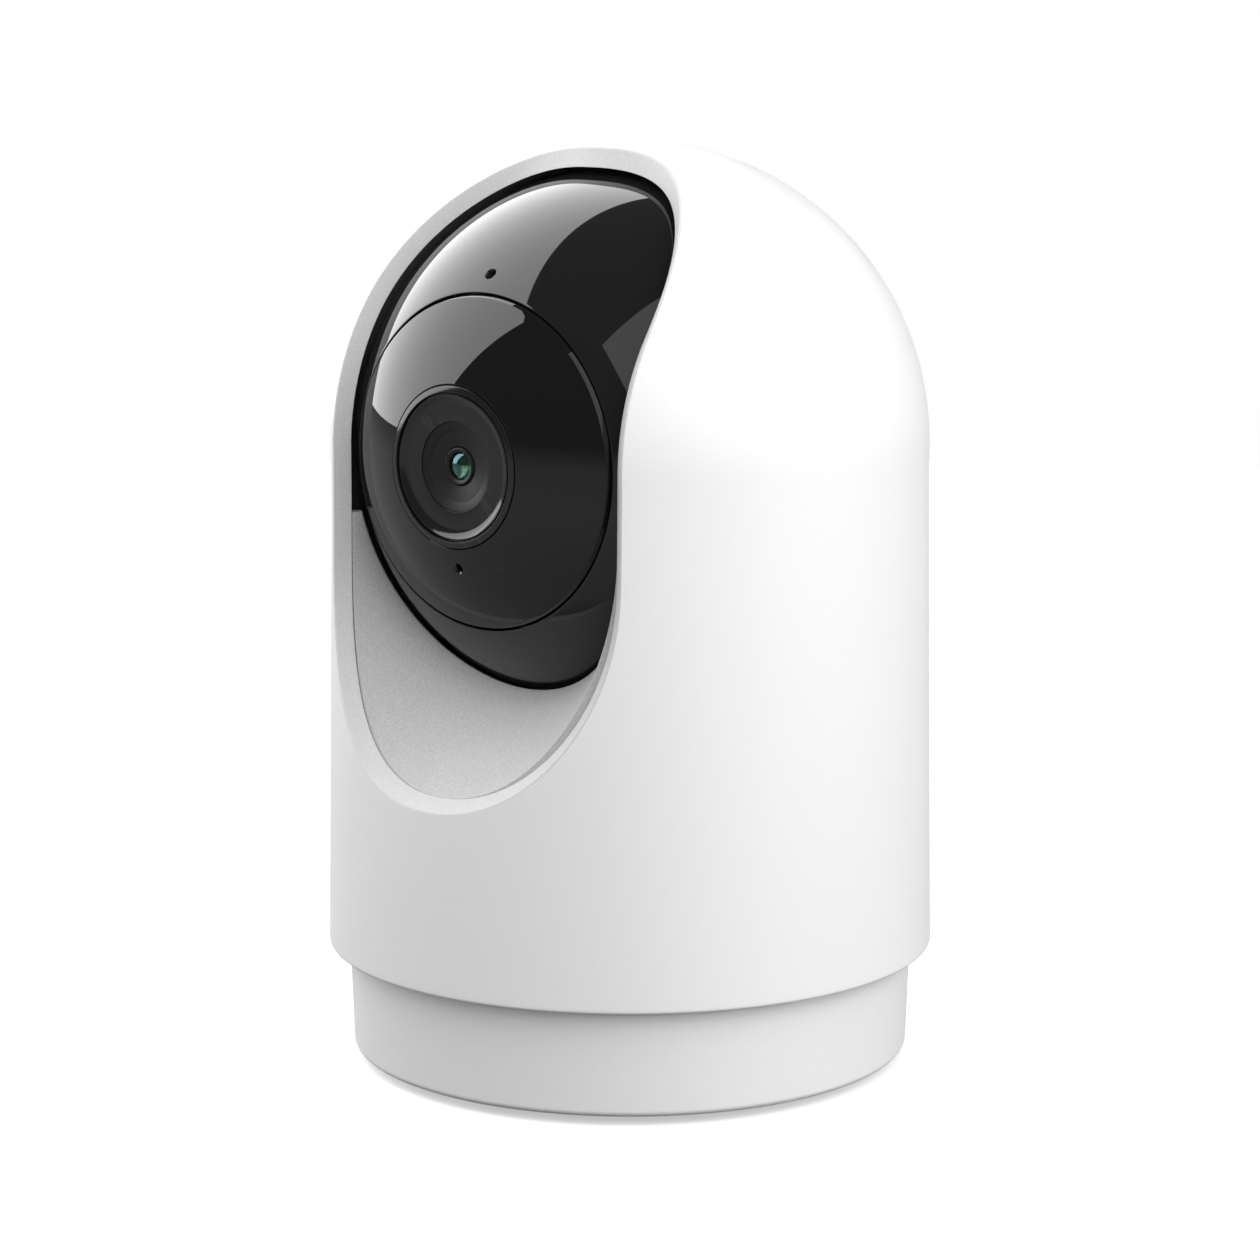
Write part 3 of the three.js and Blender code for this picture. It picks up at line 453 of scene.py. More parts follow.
def ribbon_film(name):
    """Amber film over parallel copper tracks."""
    s = Surface(name)
    tracks = s.remap(s.bands(0.5, "Y"), 0.4, 0.6, 0, 1)
    shade = s.blend(tracks, (0.33, 0.14, 0.03), (0.62, 0.3, 0.1))
    gloss = s.remap(s.noise(1.0, 3.0), 0.3, 0.7, 0.22, 0.36)
    return s.set(Base_Color=shade, Roughness=gloss, Normal=s.bump(tracks, 0.02))


def acoustic_gauze(name):
    """Black woven mesh over a speaker."""
    s = Surface(name)
    across, up = s.bands(0.45, "X"), s.bands(0.45, "Z")
    weave = s.math("MAXIMUM", across, up)
    shade = s.blend(s.remap(weave, 0.3, 0.9, 0, 1), (0.004, 0.004, 0.004), (0.035, 0.035, 0.037))
    gloss = s.remap(s.noise(0.3, 2.0), 0.3, 0.7, 0.6, 0.85)
    return s.set(Base_Color=shade, Roughness=gloss, Normal=s.bump(weave, 0.12))


def plain_name(material):
    """A material's name without the number that Blender adds to a repeated name."""
    return material.name.split(".")[0]


MATERIALS = {plain_name(material): material for material in (
    moulded("white_shell", (0.88, 0.88, 0.882), 0.4, 0.22, 0.0016, tone=0.985),
    # The ramp's white is set darker than the shell's (0.55 against 0.88): painted shade for the shadow
    # that the ball casts on it.
    spark_eroded("white_texture", (0.55, 0.55, 0.553)),
    moulded("inner_white", (0.62, 0.62, 0.61), 0.55, 0.3, 0.006, tone=0.93),
    high_gloss("black_gloss", (0.0085, 0.0085, 0.0088), 0.02, 1.48),
    moulded(
        "black_matt", (0.014, 0.014, 0.015), 0.5, 0.2, 0.008, 0.06, 0.7, worn=(0.035, 0.035, 0.036)
    ),
    moulded(
        "rubber", (0.022, 0.022, 0.023), 0.8, 0.25, 0.02, 0.06, 0.6, worn=(0.05, 0.05, 0.05)
    ),
    coated_glass("lens_glass", (0.22, 0.5, 0.33), 229.0),
    moulded(
        "led_lens", (0.8, 0.82, 0.84), 0.08, 0.4, 0.002, 0.03, 0.97, Transmission_Weight=0.85, IOR=1.52
    ),
    circuit_board("circuit_board"),
    moulded("gear_plastic", (0.7, 0.67, 0.58), 0.42, 0.25, 0.006, 0.05, 0.92),
    ribbon_film("ribbon"),
    drawn_metal("steel", (0.56, 0.56, 0.57), 0.3, (1, 1, 0.06)),
    drawn_metal("brass", (0.72, 0.5, 0.2), 0.28, (0.1, 0.1, 1)),
)}
COVER_TINT = high_gloss("cover_tint", (0.005, 0.005, 0.0052), 0.012, 1.465)
RING_BLACK = high_gloss("ring_black", (0.008, 0.008, 0.0082), 0.1, 1.5)
WELL_BLACK = moulded(
    "well_black", (0.014, 0.014, 0.0145), 0.34, 0.15, 0.002, 0.04, 0.8, Specular_IOR_Level=0.22
)
GAUZE = acoustic_gauze("speaker_gauze")
# The opening's walls are the shell's own plastic; their darker white (0.64 against 0.88) is painted
# shade.
OPENING_TEXTURE_AND_SHADE = spark_eroded("opening_texture_and_shade", (0.64, 0.64, 0.644), contrast=0.12, depth=0.012)

# -------- body shell

WALL_OUTSIDE = (DOME_RADIUS, SHELL_RIM_RADIUS)
WALL_INSIDE = (35.75, 36.6)
# The opening in front view: half width, reach below its low centre, reach above its high centre.
OPENING_LOW_Z, OPENING_HIGH_Z = 67.2, 95.2
OPENING_OUTER = (23.45, 29.4, 21.6)
OPENING_INNER = (21.75, 27.9, 19.1)
# How square the opening's lower and upper ends are; 2 is an ellipse.
OPENING_POWERS = (2.2, 2.3)
OUTLINE_STEPS = 600
SHELL_COLUMNS = 480
SHELL_ROWS = 110
# Rows crowd towards the opening as this grows past 1.
ROW_CROWDING = 1.25
CONE_BLEND = 8.0
OUTER_EDGE_STEP, INNER_EDGE_STEP = 0.32, 0.1
LIP_FILLET, MOUTH_FILLET = 0.3, 0.07
RIM_FILLET = 0.8
# Where the shell's columns spread from on the unrolled wall.
UNROLLED_CORE = np.array((0.0, -50.0))
# Faces at least this far under the outside are the opening's own walls.
UNDER_SKIN = 0.012


def wall_radius(wall, height):
    """Distance from the pan axis to a wall that is a dome above the ball's centre and a cone below."""
    dome, rim = wall
    drop = np.maximum(0.0, BALL_Z - height)
    reach = BALL_Z - SHELL_BOTTOM
    widening = np.sqrt(drop**2 + CONE_BLEND**2) - CONE_BLEND
    widening = widening / (math.hypot(reach, CONE_BLEND) - CONE_BLEND)
    rise = np.maximum(0.0, height - BALL_Z)
    return np.sqrt(np.maximum(0.0, (dome + (rim - dome) * widening) ** 2 - rise**2))


def unrolled_to_wall(wall, flat):
    """Points on a wall from a map whose distance from its middle is the way down from the pole."""
    dome = wall[0]
    far = np.hypot(flat[..., 0], flat[..., 1])
    bearing = np.arctan2(flat[..., 1], flat[..., 0])
    on_dome = np.minimum(far / dome, math.pi / 2)
    height = BALL_Z + dome * np.cos(on_dome) - np.maximum(0.0, far - dome * math.pi / 2)
    radius = np.where(far < dome * math.pi / 2, dome * np.sin(on_dome), wall_radius(wall, height))
    return np.stack([radius * np.cos(bearing), radius * np.sin(bearing), height], -1)


def wall_to_unrolled(wall, points):
    """The inverse of unrolled_to_wall."""
    dome = wall[0]
    bearing = np.arctan2(points[..., 1], points[..., 0])
    rise = np.clip((points[..., 2] - BALL_Z) / dome, 0, 1)
    far = dome * np.arccos(rise) + np.maximum(0.0, BALL_Z - points[..., 2])
    return np.stack([far * np.cos(bearing), far * np.sin(bearing)], -1)


def unrolled_reach(wall):
    """The way over a wall from the dome's pole to the shell's lower rim."""
    return wall[0] * math.pi / 2 + BALL_Z - SHELL_BOTTOM


def superellipse(half_width, half_height, power, angle):
    def bend(value):
        return np.sign(value) * np.abs(value) ** (2 / power)

    return half_width * bend(np.cos(angle)), half_height * bend(np.sin(angle))


def opening_outline(sizes, count):
    """The opening in front view as evenly spaced (x, z) points, anticlockwise."""
    half_width, below, above = sizes
    angle = np.linspace(0, math.pi, OUTLINE_STEPS)
    x, z = superellipse(half_width, above, OPENING_POWERS[1], angle)
    top = np.column_stack([x, z + OPENING_HIGH_Z])
    x, z = superellipse(half_width, below, OPENING_POWERS[0], angle + math.pi)
    bottom = np.column_stack([x, z + OPENING_LOW_Z])
    line = np.vstack([top, bottom, top[:1]])
    step = np.hypot(*np.diff(line, axis=0).T)
    way = np.concatenate([[0], np.cumsum(step)])
    even = np.linspace(0, way[-1], count, endpoint=False)
    return np.column_stack([np.interp(even, way, line[:, k]) for k in (0, 1)])


def on_wall(wall, front_view):
    """Front-view (x, z) points carried back to the front of a wall."""
    x, z = front_view[..., 0], front_view[..., 1]
    radius = wall_radius(wall, z)
    return np.stack([x, -np.sqrt(np.maximum(0.0, radius**2 - x**2)), z], -1)


def pushed_to_wall(wall, points):
    """The nearest place on a wall along its radius from the pan axis or the dome's centre."""
    above = points[..., 2] > BALL_Z
    centre = np.zeros_like(points)
    centre[..., 2] = np.where(above, BALL_Z, points[..., 2])
    spoke = points - centre
    length = np.linalg.norm(spoke, axis=-1, keepdims=True)
    below = wall_radius(wall, np.minimum(points[..., 2], BALL_Z))
    return centre + spoke / length * np.where(above, wall[0], below)[..., None]


def unit(vectors):
    return vectors / np.linalg.norm(vectors, axis=-1, keepdims=True)


def fillet_rings(edge, first, second, radius, steps):
    """Rings round an edge from edge + first * radius to edge + second * radius."""
    return [edge + first * radius * (1 - math.sin(turn)) + second * radius * (1 - math.cos(turn))
            for turn in np.linspace(0, math.pi / 2, steps + 1)]


def wall_sheet(wall, edge, rim_bearing):
    """Rings over a wall from the opening's edge to the shell's lower rim."""
    start = wall_to_unrolled(wall, edge)
    end = unrolled_reach(wall) * np.column_stack([np.cos(rim_bearing), np.sin(rim_bearing)])
    parts = np.linspace(0, 1, SHELL_ROWS + 1) ** ROW_CROWDING
    return [unrolled_to_wall(wall, start + (end - start) * part) for part in parts]


def rings_above(rings, height):
    return [ring for ring in rings if ring[:, 2].min() > SHELL_BOTTOM + height]


def body_shell():
    outer_edge = on_wall(WALL_OUTSIDE, opening_outline(OPENING_OUTER, SHELL_COLUMNS))
    inner_edge = on_wall(WALL_INSIDE, opening_outline(OPENING_INNER, SHELL_COLUMNS))
    along = unit(np.roll(outer_edge, -1, 0) - np.roll(outer_edge, 1, 0))
    through = unit(inner_edge - outer_edge)
    outward = unit(pushed_to_wall(WALL_OUTSIDE, outer_edge) * (1, 1, 0) + (0, 0, 1e-6))
    dome = outer_edge[:, 2] > BALL_Z
    outward[dome] = unit(outer_edge - BALL_CENTRE)[dome]
    away = unit(np.cross(along, outward))
    middle = outer_edge.mean(0)
    away *= np.sign(((outer_edge - middle) * away).sum(-1, keepdims=True))
    outer_start = pushed_to_wall(WALL_OUTSIDE, outer_edge + away * OUTER_EDGE_STEP)
    inner_start = pushed_to_wall(WALL_INSIDE, inner_edge + away * INNER_EDGE_STEP)
    flat = wall_to_unrolled(WALL_OUTSIDE, outer_start)
    ray = unit(flat - UNROLLED_CORE)
    far = unrolled_reach(WALL_OUTSIDE)
    lean = (ray * UNROLLED_CORE).sum(-1)
    reach = -lean + np.sqrt(lean**2 + far**2 - (UNROLLED_CORE**2).sum())
    rim = UNROLLED_CORE + ray * reach[:, None]
    bearing = np.arctan2(rim[:, 1], rim[:, 0])
    wheel = np.column_stack([np.cos(bearing), np.sin(bearing)])
    outer = rings_above(wall_sheet(WALL_OUTSIDE, outer_start, bearing), RIM_FILLET)
    inner = rings_above(wall_sheet(WALL_INSIDE, inner_start, bearing), 0.7)
    rim_line = outline(
        (wall_radius(WALL_OUTSIDE, SHELL_BOTTOM + 0.9), SHELL_BOTTOM + 0.9),
        (SHELL_RIM_RADIUS, SHELL_BOTTOM, RIM_FILLET),
        (WALL_INSIDE[1], SHELL_BOTTOM, 0.25),
        (WALL_INSIDE[1], SHELL_BOTTOM + 0.6),
        steps=6, closed=False,
    )
    bottom = [np.column_stack([wheel * r, np.full(SHELL_COLUMNS, z)]) for r, z in rim_line]
    mouth = fillet_rings(inner_edge, unit(inner_start - inner_edge), -through, MOUTH_FILLET, 4)
    wall = [inner_edge + (outer_edge - inner_edge) * part for part in np.linspace(0.06, 0.86, 7)]
    lip = fillet_rings(outer_edge, through, unit(outer_start - outer_edge), LIP_FILLET, 6)
    rings = outer + bottom + inner[::-1] + mouth + wall + lip
    shell = loft("body_shell_skin", rings, MATERIALS["white_shell"], wrap_rings=True, sharp=40)
    slots = [speaker_slot(x) for x in SLOT_PLACES]
    return texture_and_shade_opening(carve(shell, slots, sharp=40))


def texture_and_shade_opening(shell):
    """Gives the opening's own walls the texture of the ramp below it, in a white darker than the
    shell's: painted shade.
    """
    shell.data.materials.append(OPENING_TEXTURE_AND_SHADE)
    lowest = OPENING_LOW_Z - OPENING_OUTER[1] - 1
    for face in shell.data.polygons:
        x, y, z = np.array(face.center) / MM
        reach = math.dist((x, y, z), BALL_CENTRE) if z > BALL_Z else math.hypot(x, y)
        outside = DOME_RADIUS if z > BALL_Z else float(wall_radius(WALL_OUTSIDE, z))
        if y < 0 and z > lowest and outside - reach > UNDER_SKIN:
            face.material_index = 1
    return shell


SPEAKER_Z = mid_height("speaker")
SPEAKER_RADIUS = extent("speaker")[1][0]
SLOT_HALF_WIDTH = 0.9
SLOT_PLACES = (-8, -4, 0, 4, 8)


def speaker_slot(x):
    """A round-ended slot's cutter at the back of the shell, with a chamfered mouth."""
    half_length = 0.8 * math.sqrt(SPEAKER_RADIUS**2 - x**2)
    flat = np.asarray(rounded_box(SLOT_HALF_WIDTH, half_length, SLOT_HALF_WIDTH - 0.01, 8))
    rings = []
    for depth, grown in ((-6, 0), (-0.3, 0), (0, 0.3), (1.5, 1.8)):
        level = stacked(flat, [(0, grown)])[0]
        height = level[:, 1] + SPEAKER_Z
        across = level[:, 0] + x
        back = np.sqrt((wall_radius(WALL_OUTSIDE, height) + depth) ** 2 - across**2)
        rings.append(np.column_stack([across, back, height]))
    return loft(f"slot_{x}", rings, MATERIALS["white_shell"], cap_ends=True)


stands_for(body_shell(), "pan_body", "white_shell", "body_shell")

# -------- front bezel

BEZEL_TOP_Z = extent("front_bezel")[1][2]
BEZEL_EDGE_RADIUS = 21.0
BEZEL_THICKNESS = 1.5
BEZEL_BALL_GAP = 0.5
BEZEL_SEAM = 0.06
BEZEL_STEPS = 260


def beside_ball(x, z):
    reach = BALL_RADIUS + BEZEL_BALL_GAP
    return np.array((x, -math.sqrt(reach**2 - x**2 - (z - BALL_Z) ** 2), z))


def bezel_ring(angle):
    """One section of the ramp: 0 is the +X end and 90 degrees the lowest point."""
    level = math.sin(angle)
    half_width, below, _ = OPENING_INNER
    x, z = superellipse(half_width, below, OPENING_POWERS[0], -angle)
    z += OPENING_LOW_Z + (BEZEL_TOP_Z - OPENING_LOW_Z) * (1 - level)
    edge_x, edge_z = BEZEL_EDGE_RADIUS * math.cos(angle), BEZEL_TOP_Z - BEZEL_EDGE_RADIUS * level
    out_x, out_z = BEZEL_THICKNESS * math.cos(angle), -BEZEL_THICKNESS * level
    wall = (WALL_INSIDE[0] - BEZEL_SEAM, WALL_INSIDE[1] - BEZEL_SEAM)
    corners = [
        (on_wall(wall, np.array((x, z))), 0.05),
        (beside_ball(edge_x, edge_z), 0.35),
        (beside_ball(edge_x + out_x, edge_z + out_z), 0.2),
        (on_wall(wall, np.array((x + out_x, z + out_z))), 0.1),
    ]
    return rounded(corners, 5)


sections = [bezel_ring(a) for a in np.linspace(0, math.pi, BEZEL_STEPS + 1)]
# The ramp's darker white is painted shade.
ramp = loft("front_bezel_skin", sections, MATERIALS["white_texture"], cap_ends=True, sharp=50)
stands_for(ramp, "pan_body", "white_texture", "front_bezel")

# -------- base

BASE_SCREW_CIRCLE, FOOT_CIRCLE = 30.5, 27.3
BASE_BORE = 33.7
BASE_NECK = 35.6
BASE_CEILING, BASE_TOP = 17, 19
SPINDLE_BORE, SPINDLE_RADIUS, SPINDLE_TOP = 4.6, 7, 25.6
BASE_BOTTOM = BASE_LOW[2]
BASE_RADIUS = BASE_HIGH[0]
USB_Z = mid_height("usb_port")
SCREW_PLACES = around(BASE_SCREW_CIRCLE, (150, 270, 30))
FOOT_PLACES = around(FOOT_CIRCLE, (45, 135, 225, 315))


def base_housing():
    white = MATERIALS["white_shell"]
    inlet = facing_back(0, USB_Z)
    body = lathe("base_skin", outline(
        (BASE_BORE, BASE_BOTTOM, 0.1), (35.9, BASE_BOTTOM, 0.9), (BASE_RADIUS, 14.2, 0.25),
        (BASE_NECK, 14.7, 0.2), (BASE_NECK, BASE_TOP, 0.3), (SPINDLE_RADIUS, BASE_TOP, 0.3),
        (SPINDLE_RADIUS, SPINDLE_TOP, 0.3), (SPINDLE_BORE, SPINDLE_TOP, 0.2),
        (SPINDLE_BORE, BASE_CEILING), (BASE_BORE, BASE_CEILING, 0.4),
    ), white, 288)
    added = [round_bar("boss", 2.6, 3.4, 17.5, white, upright(x, y)) for x, y in SCREW_PLACES]
    backing = [(29.5, 0), (34.5, 0)]
    added.append(prism("port_wall", rounded_box(8.5, 5, 0.5), backing, white, inlet))
    carve(body, added, "UNION")
    flare = [(31.3, 0), (35.75, 0), (36.35, 0.45), (40, 3.2)]
    pocket = prism("pocket", rounded_box(6.3, 3.8, 3.2, 10), flare, white, inlet)
    through = [(29, 0), (32, 0)]
    hole = prism("hole", rounded_box(4.8, 1.9, 1.85, 8), through, white, inlet)
    pilots = [round_bar("pilot", 1.1, 0, 13, white, upright(x, y), 32) for x, y in SCREW_PLACES]
    return carve(body, [pocket, hole, *pilots])


def bottom_plate():
    low, high = extent("base_bottom_plate")
    grey = MATERIALS["inner_white"]
    bottom, top, edge = low[2], high[2], high[0]
    plate = lathe("bottom_plate_skin", outline(
        (3.6, bottom, 0.2), (24.4, bottom, 0.1), (24.6, bottom + 0.25, 0.1), (25.1, bottom + 0.25, 0.1),
        (25.3, bottom, 0.1), (edge, bottom, 0.3), (edge, top, 0.2), (3.6, top, 0.1),
    ), grey, 256)
    cutters = [round_bar("foot_pocket", 4.3, 0, bottom + 0.6, grey, upright(x, y), 72)
               for x, y in FOOT_PLACES]
    seat = bottom + 0.9
    well = outline((0, 0), (2.5, 0), (2.5, seat), (1.2, seat), (1.2, top + 1), (0, top + 1),
                   closed=False)
    cutters += [lathe("screw_well", well, grey, 64, upright(x, y), closed=False)
                for x, y in SCREW_PLACES]
    return carve(plate, cutters)


def foot(name):
    low, high = extent(name)
    spot = upright((low[0] + high[0]) / 2, (low[1] + high[1]) / 2)
    radius, top = (high[0] - low[0]) / 2, high[2]
    line = outline((0, 0), (radius, 0, 0.35), (radius, top, 0.15), (0, top), closed=False)
    return lathe(f"{name}_skin", line, MATERIALS["rubber"], 96, spot, closed=False)


def screw(name, head_radius, head_height, shank_radius, length, place):
    """A pan-head screw along +Z, its head's underside at 0, with a cross recess and ridges."""
    steel = MATERIALS["steel"]
    pitch = 0.55
    root = shank_radius * 0.8
    head = outline(
        (0, -head_height), (head_radius * 0.75, -head_height, 0.3),
        (head_radius, -head_height * 0.4, 0.2), (head_radius, 0, 0.08), (root, 0), closed=False,
    )
    ridges = []
    for k in range(int((length - 1.2) / pitch)):
        z = 0.3 + k * pitch
        ridges += [(root, z), (shank_radius, z + pitch * 0.4)]
    line = head + ridges + [(root, length - 0.8), (0, length)]
    body = lathe(name, line, steel, 64, place, closed=False)
    reach, half_slot = head_radius * 0.55, 0.22
    sink = [(-head_height - 1, 0.02), (-head_height + head_height * 0.6, -0.08)]
    arms = [prism("recess", rounded_box(*half, 0.08, 2), sink, steel, place)
            for half in ((reach, half_slot), (half_slot, reach))]
    return carve(body, arms)


def usb_port():
    """The inlet's shell with its tongue, opening towards +Y."""
    steel = MATERIALS["steel"]
    low, high = extent("usb_port")
    half_width, half_height = high[0], (high[2] - low[2]) / 2
    depth = high[1] - low[1]
    place = facing_back(low[1], USB_Z)
    outside = rounded_box(half_width, half_height, half_height - 0.05, 10)
    levels = [(0, -0.1), (0.1, 0), (depth - 0.1, 0), (depth, -0.08)]
    can = prism("usb_port_skin", outside, levels, steel, place)
    inside = rounded_box(half_width - 0.3, half_height - 0.3, half_height - 0.35, 10)
    levels = [(2, 0), (depth - 0.15, 0), (depth + 1, 0.6)]
    carve(can, [prism("mouth", inside, levels, steel, place)])
    levels = [(1.5, 0), (depth - 0.9, 0), (depth - 0.6, -0.12)]
    blade = rounded_box(3.3, 0.35, 0.15, 4)
    return can, prism("usb_tongue", blade, levels, MATERIALS["black_matt"], place)


BASE_SCREW_HEAD = 0.6

stands_for(base_housing(), "base", "white_shell", "base_housing")
stands_for(bottom_plate(), "base", "inner_white", "base_bottom_plate")
for number in range(1, 5):
    stands_for(foot(f"foot_pad_{number}"), "base", "rubber", f"foot_pad_{number}")
for number in range(1, 4):
    low, high = extent(f"base_screw_{number}")
    spot = upright((low[0] + high[0]) / 2, (low[1] + high[1]) / 2, low[2] + BASE_SCREW_HEAD)
    made = screw(f"base_screw_{number}_skin", 2.2, BASE_SCREW_HEAD, 0.8, 9, spot)
    stands_for(made, "base", "steel", f"base_screw_{number}")
for piece in usb_port():
    stands_for(piece, "base", "steel", "usb_port")

# -------- speaker behind the slots


def along_back(name, node, line):
    """A piece about the speaker's axis; the line's heights are distances from the pan axis."""
    piece = lathe(name, line, MATERIALS["black_matt"], 128, facing_back(0, SPEAKER_Z))
    stands_for(piece, "pan_body", "black_matt", node)


SPEAKER_FRONT = extent("speaker")[1][1]
SPEAKER_INNER = SPEAKER_RADIUS - 1.5
along_back("speaker_basket", "speaker", outline(
    (4, 24.5, 0.1), (SPEAKER_RADIUS - 2, 24.5, 0.5), (SPEAKER_RADIUS, 28.5, 0.4),
    (SPEAKER_RADIUS, SPEAKER_FRONT, 0.2), (SPEAKER_INNER, SPEAKER_FRONT, 0.2),
    (SPEAKER_INNER, 26.5, 0.2), (4, 26.5, 0.1),
))
along_back("speaker_diaphragm", "speaker_cone", [
    (0, 28.6), (1.2, 28.5), (2.4, 27.9), (3.0, 27.7), (5, 28.2), (7.2, 28.9), (7.8, 29.3),
    (8.4, 29.45), (9, 29.2), (9, 28.8), (7.8, 28.7), (3.2, 27.3), (0, 27.3),
])
gauze_line = outline(
    (0, SPEAKER_FRONT + 0.3), (SPEAKER_RADIUS, SPEAKER_FRONT + 0.3),
    (SPEAKER_RADIUS, SPEAKER_FRONT + 0.6), (0, SPEAKER_FRONT + 0.6), closed=False,
)
gauze = lathe(
    "speaker_gauze_disc", gauze_line, GAUZE, 96, facing_back(0, SPEAKER_Z), closed=False
)
stands_for(gauze, "pan_body", "black_matt")

# -------- ball

BALL_WALL = 1.8
BALL_SPLIT_Y = 6.0
BALL_GAP = 0.3
SEAM_RADIUS = 20.6
LEDGE_DEPTH = 26.1
THROAT_RADIUS = 18.3
STATUS_ELEVATION = 41.0
MICROPHONE_ELEVATION = -21.0
CARD_ELEVATION = -66.0
BUTTON_ACROSS = 10
BALL_SCREW_ACROSS, BALL_SCREW_HEIGHTS = 16, (16, -16)
FLAT_BLEND = 0.8


def flattened(obj):
    """Presses a ball piece's sides flat, with a soft edge."""
    mesh = obj.data
    co = np.empty(len(mesh.vertices) * 3)
    mesh.vertices.foreach_get("co", co)
    co = co.reshape(-1, 3) / MM
    far = np.linalg.norm(co - BALL_CENTRE, axis=1)
    outside = far > BALL_RADIUS - BALL_WALL / 2
    limit = np.where(outside, BALL_HALF_WIDTH, BALL_HALF_WIDTH - BALL_WALL)
    size = np.abs(co[:, 0])
    soft = size - (size - limit + FLAT_BLEND) ** 2 / (4 * FLAT_BLEND)
    near = np.where(size > limit - FLAT_BLEND, soft, size)
    size = np.where(size > limit + FLAT_BLEND, limit, near)
    co[:, 0] = np.sign(co[:, 0]) * size
    mesh.vertices.foreach_set("co", (co * MM).ravel())
    mesh.update()
    return obj


def angle_at(radius, sphere):
    """Degrees from the lens axis to a circle of this radius on a sphere."""
    return math.degrees(math.asin(radius / sphere))


def split_angle(y, sphere):
    """Degrees from the lens axis to the plane that parts the front and rear shells."""
    return math.degrees(math.acos(-y / sphere))


def ball_front():
    gloss = MATERIALS["black_gloss"]
    inner = BALL_RADIUS - BALL_WALL
    split = split_angle(BALL_SPLIT_Y, BALL_RADIUS)
    inner_split = split_angle(BALL_SPLIT_Y, inner)
    seam = angle_at(SEAM_RADIUS, BALL_RADIUS)
    outside = arc(BALL_RADIUS, 0, split - 0.4, seam + 0.7, 120)
    corners = [((BALL_RADIUS * math.sin(math.radians(split)), -BALL_SPLIT_Y), 0.12)]
    corners += [(p, 0) for p in outside]
    corners += [((SEAM_RADIUS, math.sqrt(BALL_RADIUS**2 - SEAM_RADIUS**2)), 0.16)]
    corners += [((SEAM_RADIUS, LEDGE_DEPTH), 0.1), ((THROAT_RADIUS, LEDGE_DEPTH), 0.1)]
    under = LEDGE_DEPTH - BALL_WALL
    corners += [((THROAT_RADIUS, under), 0.1), ((22.6, under), 0)]
    corners += [(p, 0) for p in arc(inner, 0, angle_at(22.8, inner), inner_split, 60)]
    body = flattened(lathe("ball_front_skin", rounded(corners, 5), gloss, 320, optical()))
    sides = []
    for side in (1, -1):
        turn = upright(*BALL_CENTRE) @ Matrix.Rotation(math.radians(90 * side), 4, "Y")
        sides.append((
            round_bar("trunnion", 4.0, BALL_HALF_WIDTH - 1, 33.9, gloss, turn, 64),
            round_bar("trunnion_bore", 2.4, 20, 40, gloss, turn),
        ))
    carve(body, [trunnion for trunnion, _ in sides], "UNION")
    flare = [(28, 0), (BALL_RADIUS - 0.16, 0), (BALL_RADIUS + 0.04, 0.2), (38, 2.4)]
    status = prism("status", circle(0.65), flare, gloss, optical(STATUS_ELEVATION))
    slot = prism("card", rounded_box(6, 0.8, 0.3, 4), flare, gloss, optical(CARD_ELEVATION))
    dish = [(28, 0), (33.1, 0), (33.6, 0.35), (38, 4)]
    button = prism("button", circle(1.5), dish, gloss, optical(CARD_ELEVATION, BUTTON_ACROSS))
    return carve(body, [status, slot, button] + [bore for _, bore in sides])


def ball_rear():
    gloss = MATERIALS["black_gloss"]
    start = BALL_SPLIT_Y + BALL_GAP
    inner = BALL_RADIUS - BALL_WALL
    first = split_angle(start, BALL_RADIUS)
    inner_first = split_angle(start, inner)
    line = arc(inner, 0, 180, inner_first, 60) + arc(BALL_RADIUS, 0, first, 180, 100)
    body = flattened(lathe("ball_rear_skin", line, gloss, 256, optical(), closed=False))
    wells = []
    for height in BALL_SCREW_HEIGHTS:
        spot = optical() @ upright(BALL_SCREW_ACROSS, height)
        wells.append(round_bar("screw_well", 2.3, -40, -25.5, gloss, spot, 64))
    return carve(body, wells)


def ball_screw(name, height):
    """Seated in the rear shell's well and pointing forwards."""
    place = optical() @ upright(BALL_SCREW_ACROSS, height, -22.6)
    return screw(name, 2, 1, 0.8, 21, place)


stands_for(ball_front(), "ball", "black_gloss", "ball_front_shell")
stands_for(ball_rear(), "ball", "black_gloss", "ball_rear_shell")
for number, height in enumerate(BALL_SCREW_HEIGHTS, 1):
    made = ball_screw(f"ball_screw_{number}_skin", height)
    stands_for(made, "ball", "steel", f"ball_screw_{number}")

# -------- face cover and lens

# The cover's sphere, whose centre lies behind the ball's; depths are along the lens axis.
COVER_CURVE = 35.64
COVER_CENTRE = -0.945
COVER_WALL = 1.8
COVER_INNER_RADIUS, COVER_BACK = 18.8, 26.4
COVER_RIM = extent("face_cover")[1][0]
RING_RADIUS = extent("lens_ring")[1][0]
COVER_HOLE = RING_RADIUS + 0.11
WELL_RADIUS = 5.48
BARREL_RADIUS = 2.3
ELEMENT_RADIUS = 1.6
LENS_FACE = 33.35
SUNK_FACE = LENS_FACE - 0.44
COVE_RADIUS = 1.87


def cover_depth(radius, curve=COVER_CURVE):
    return COVER_CENTRE + math.sqrt(curve**2 - radius**2)


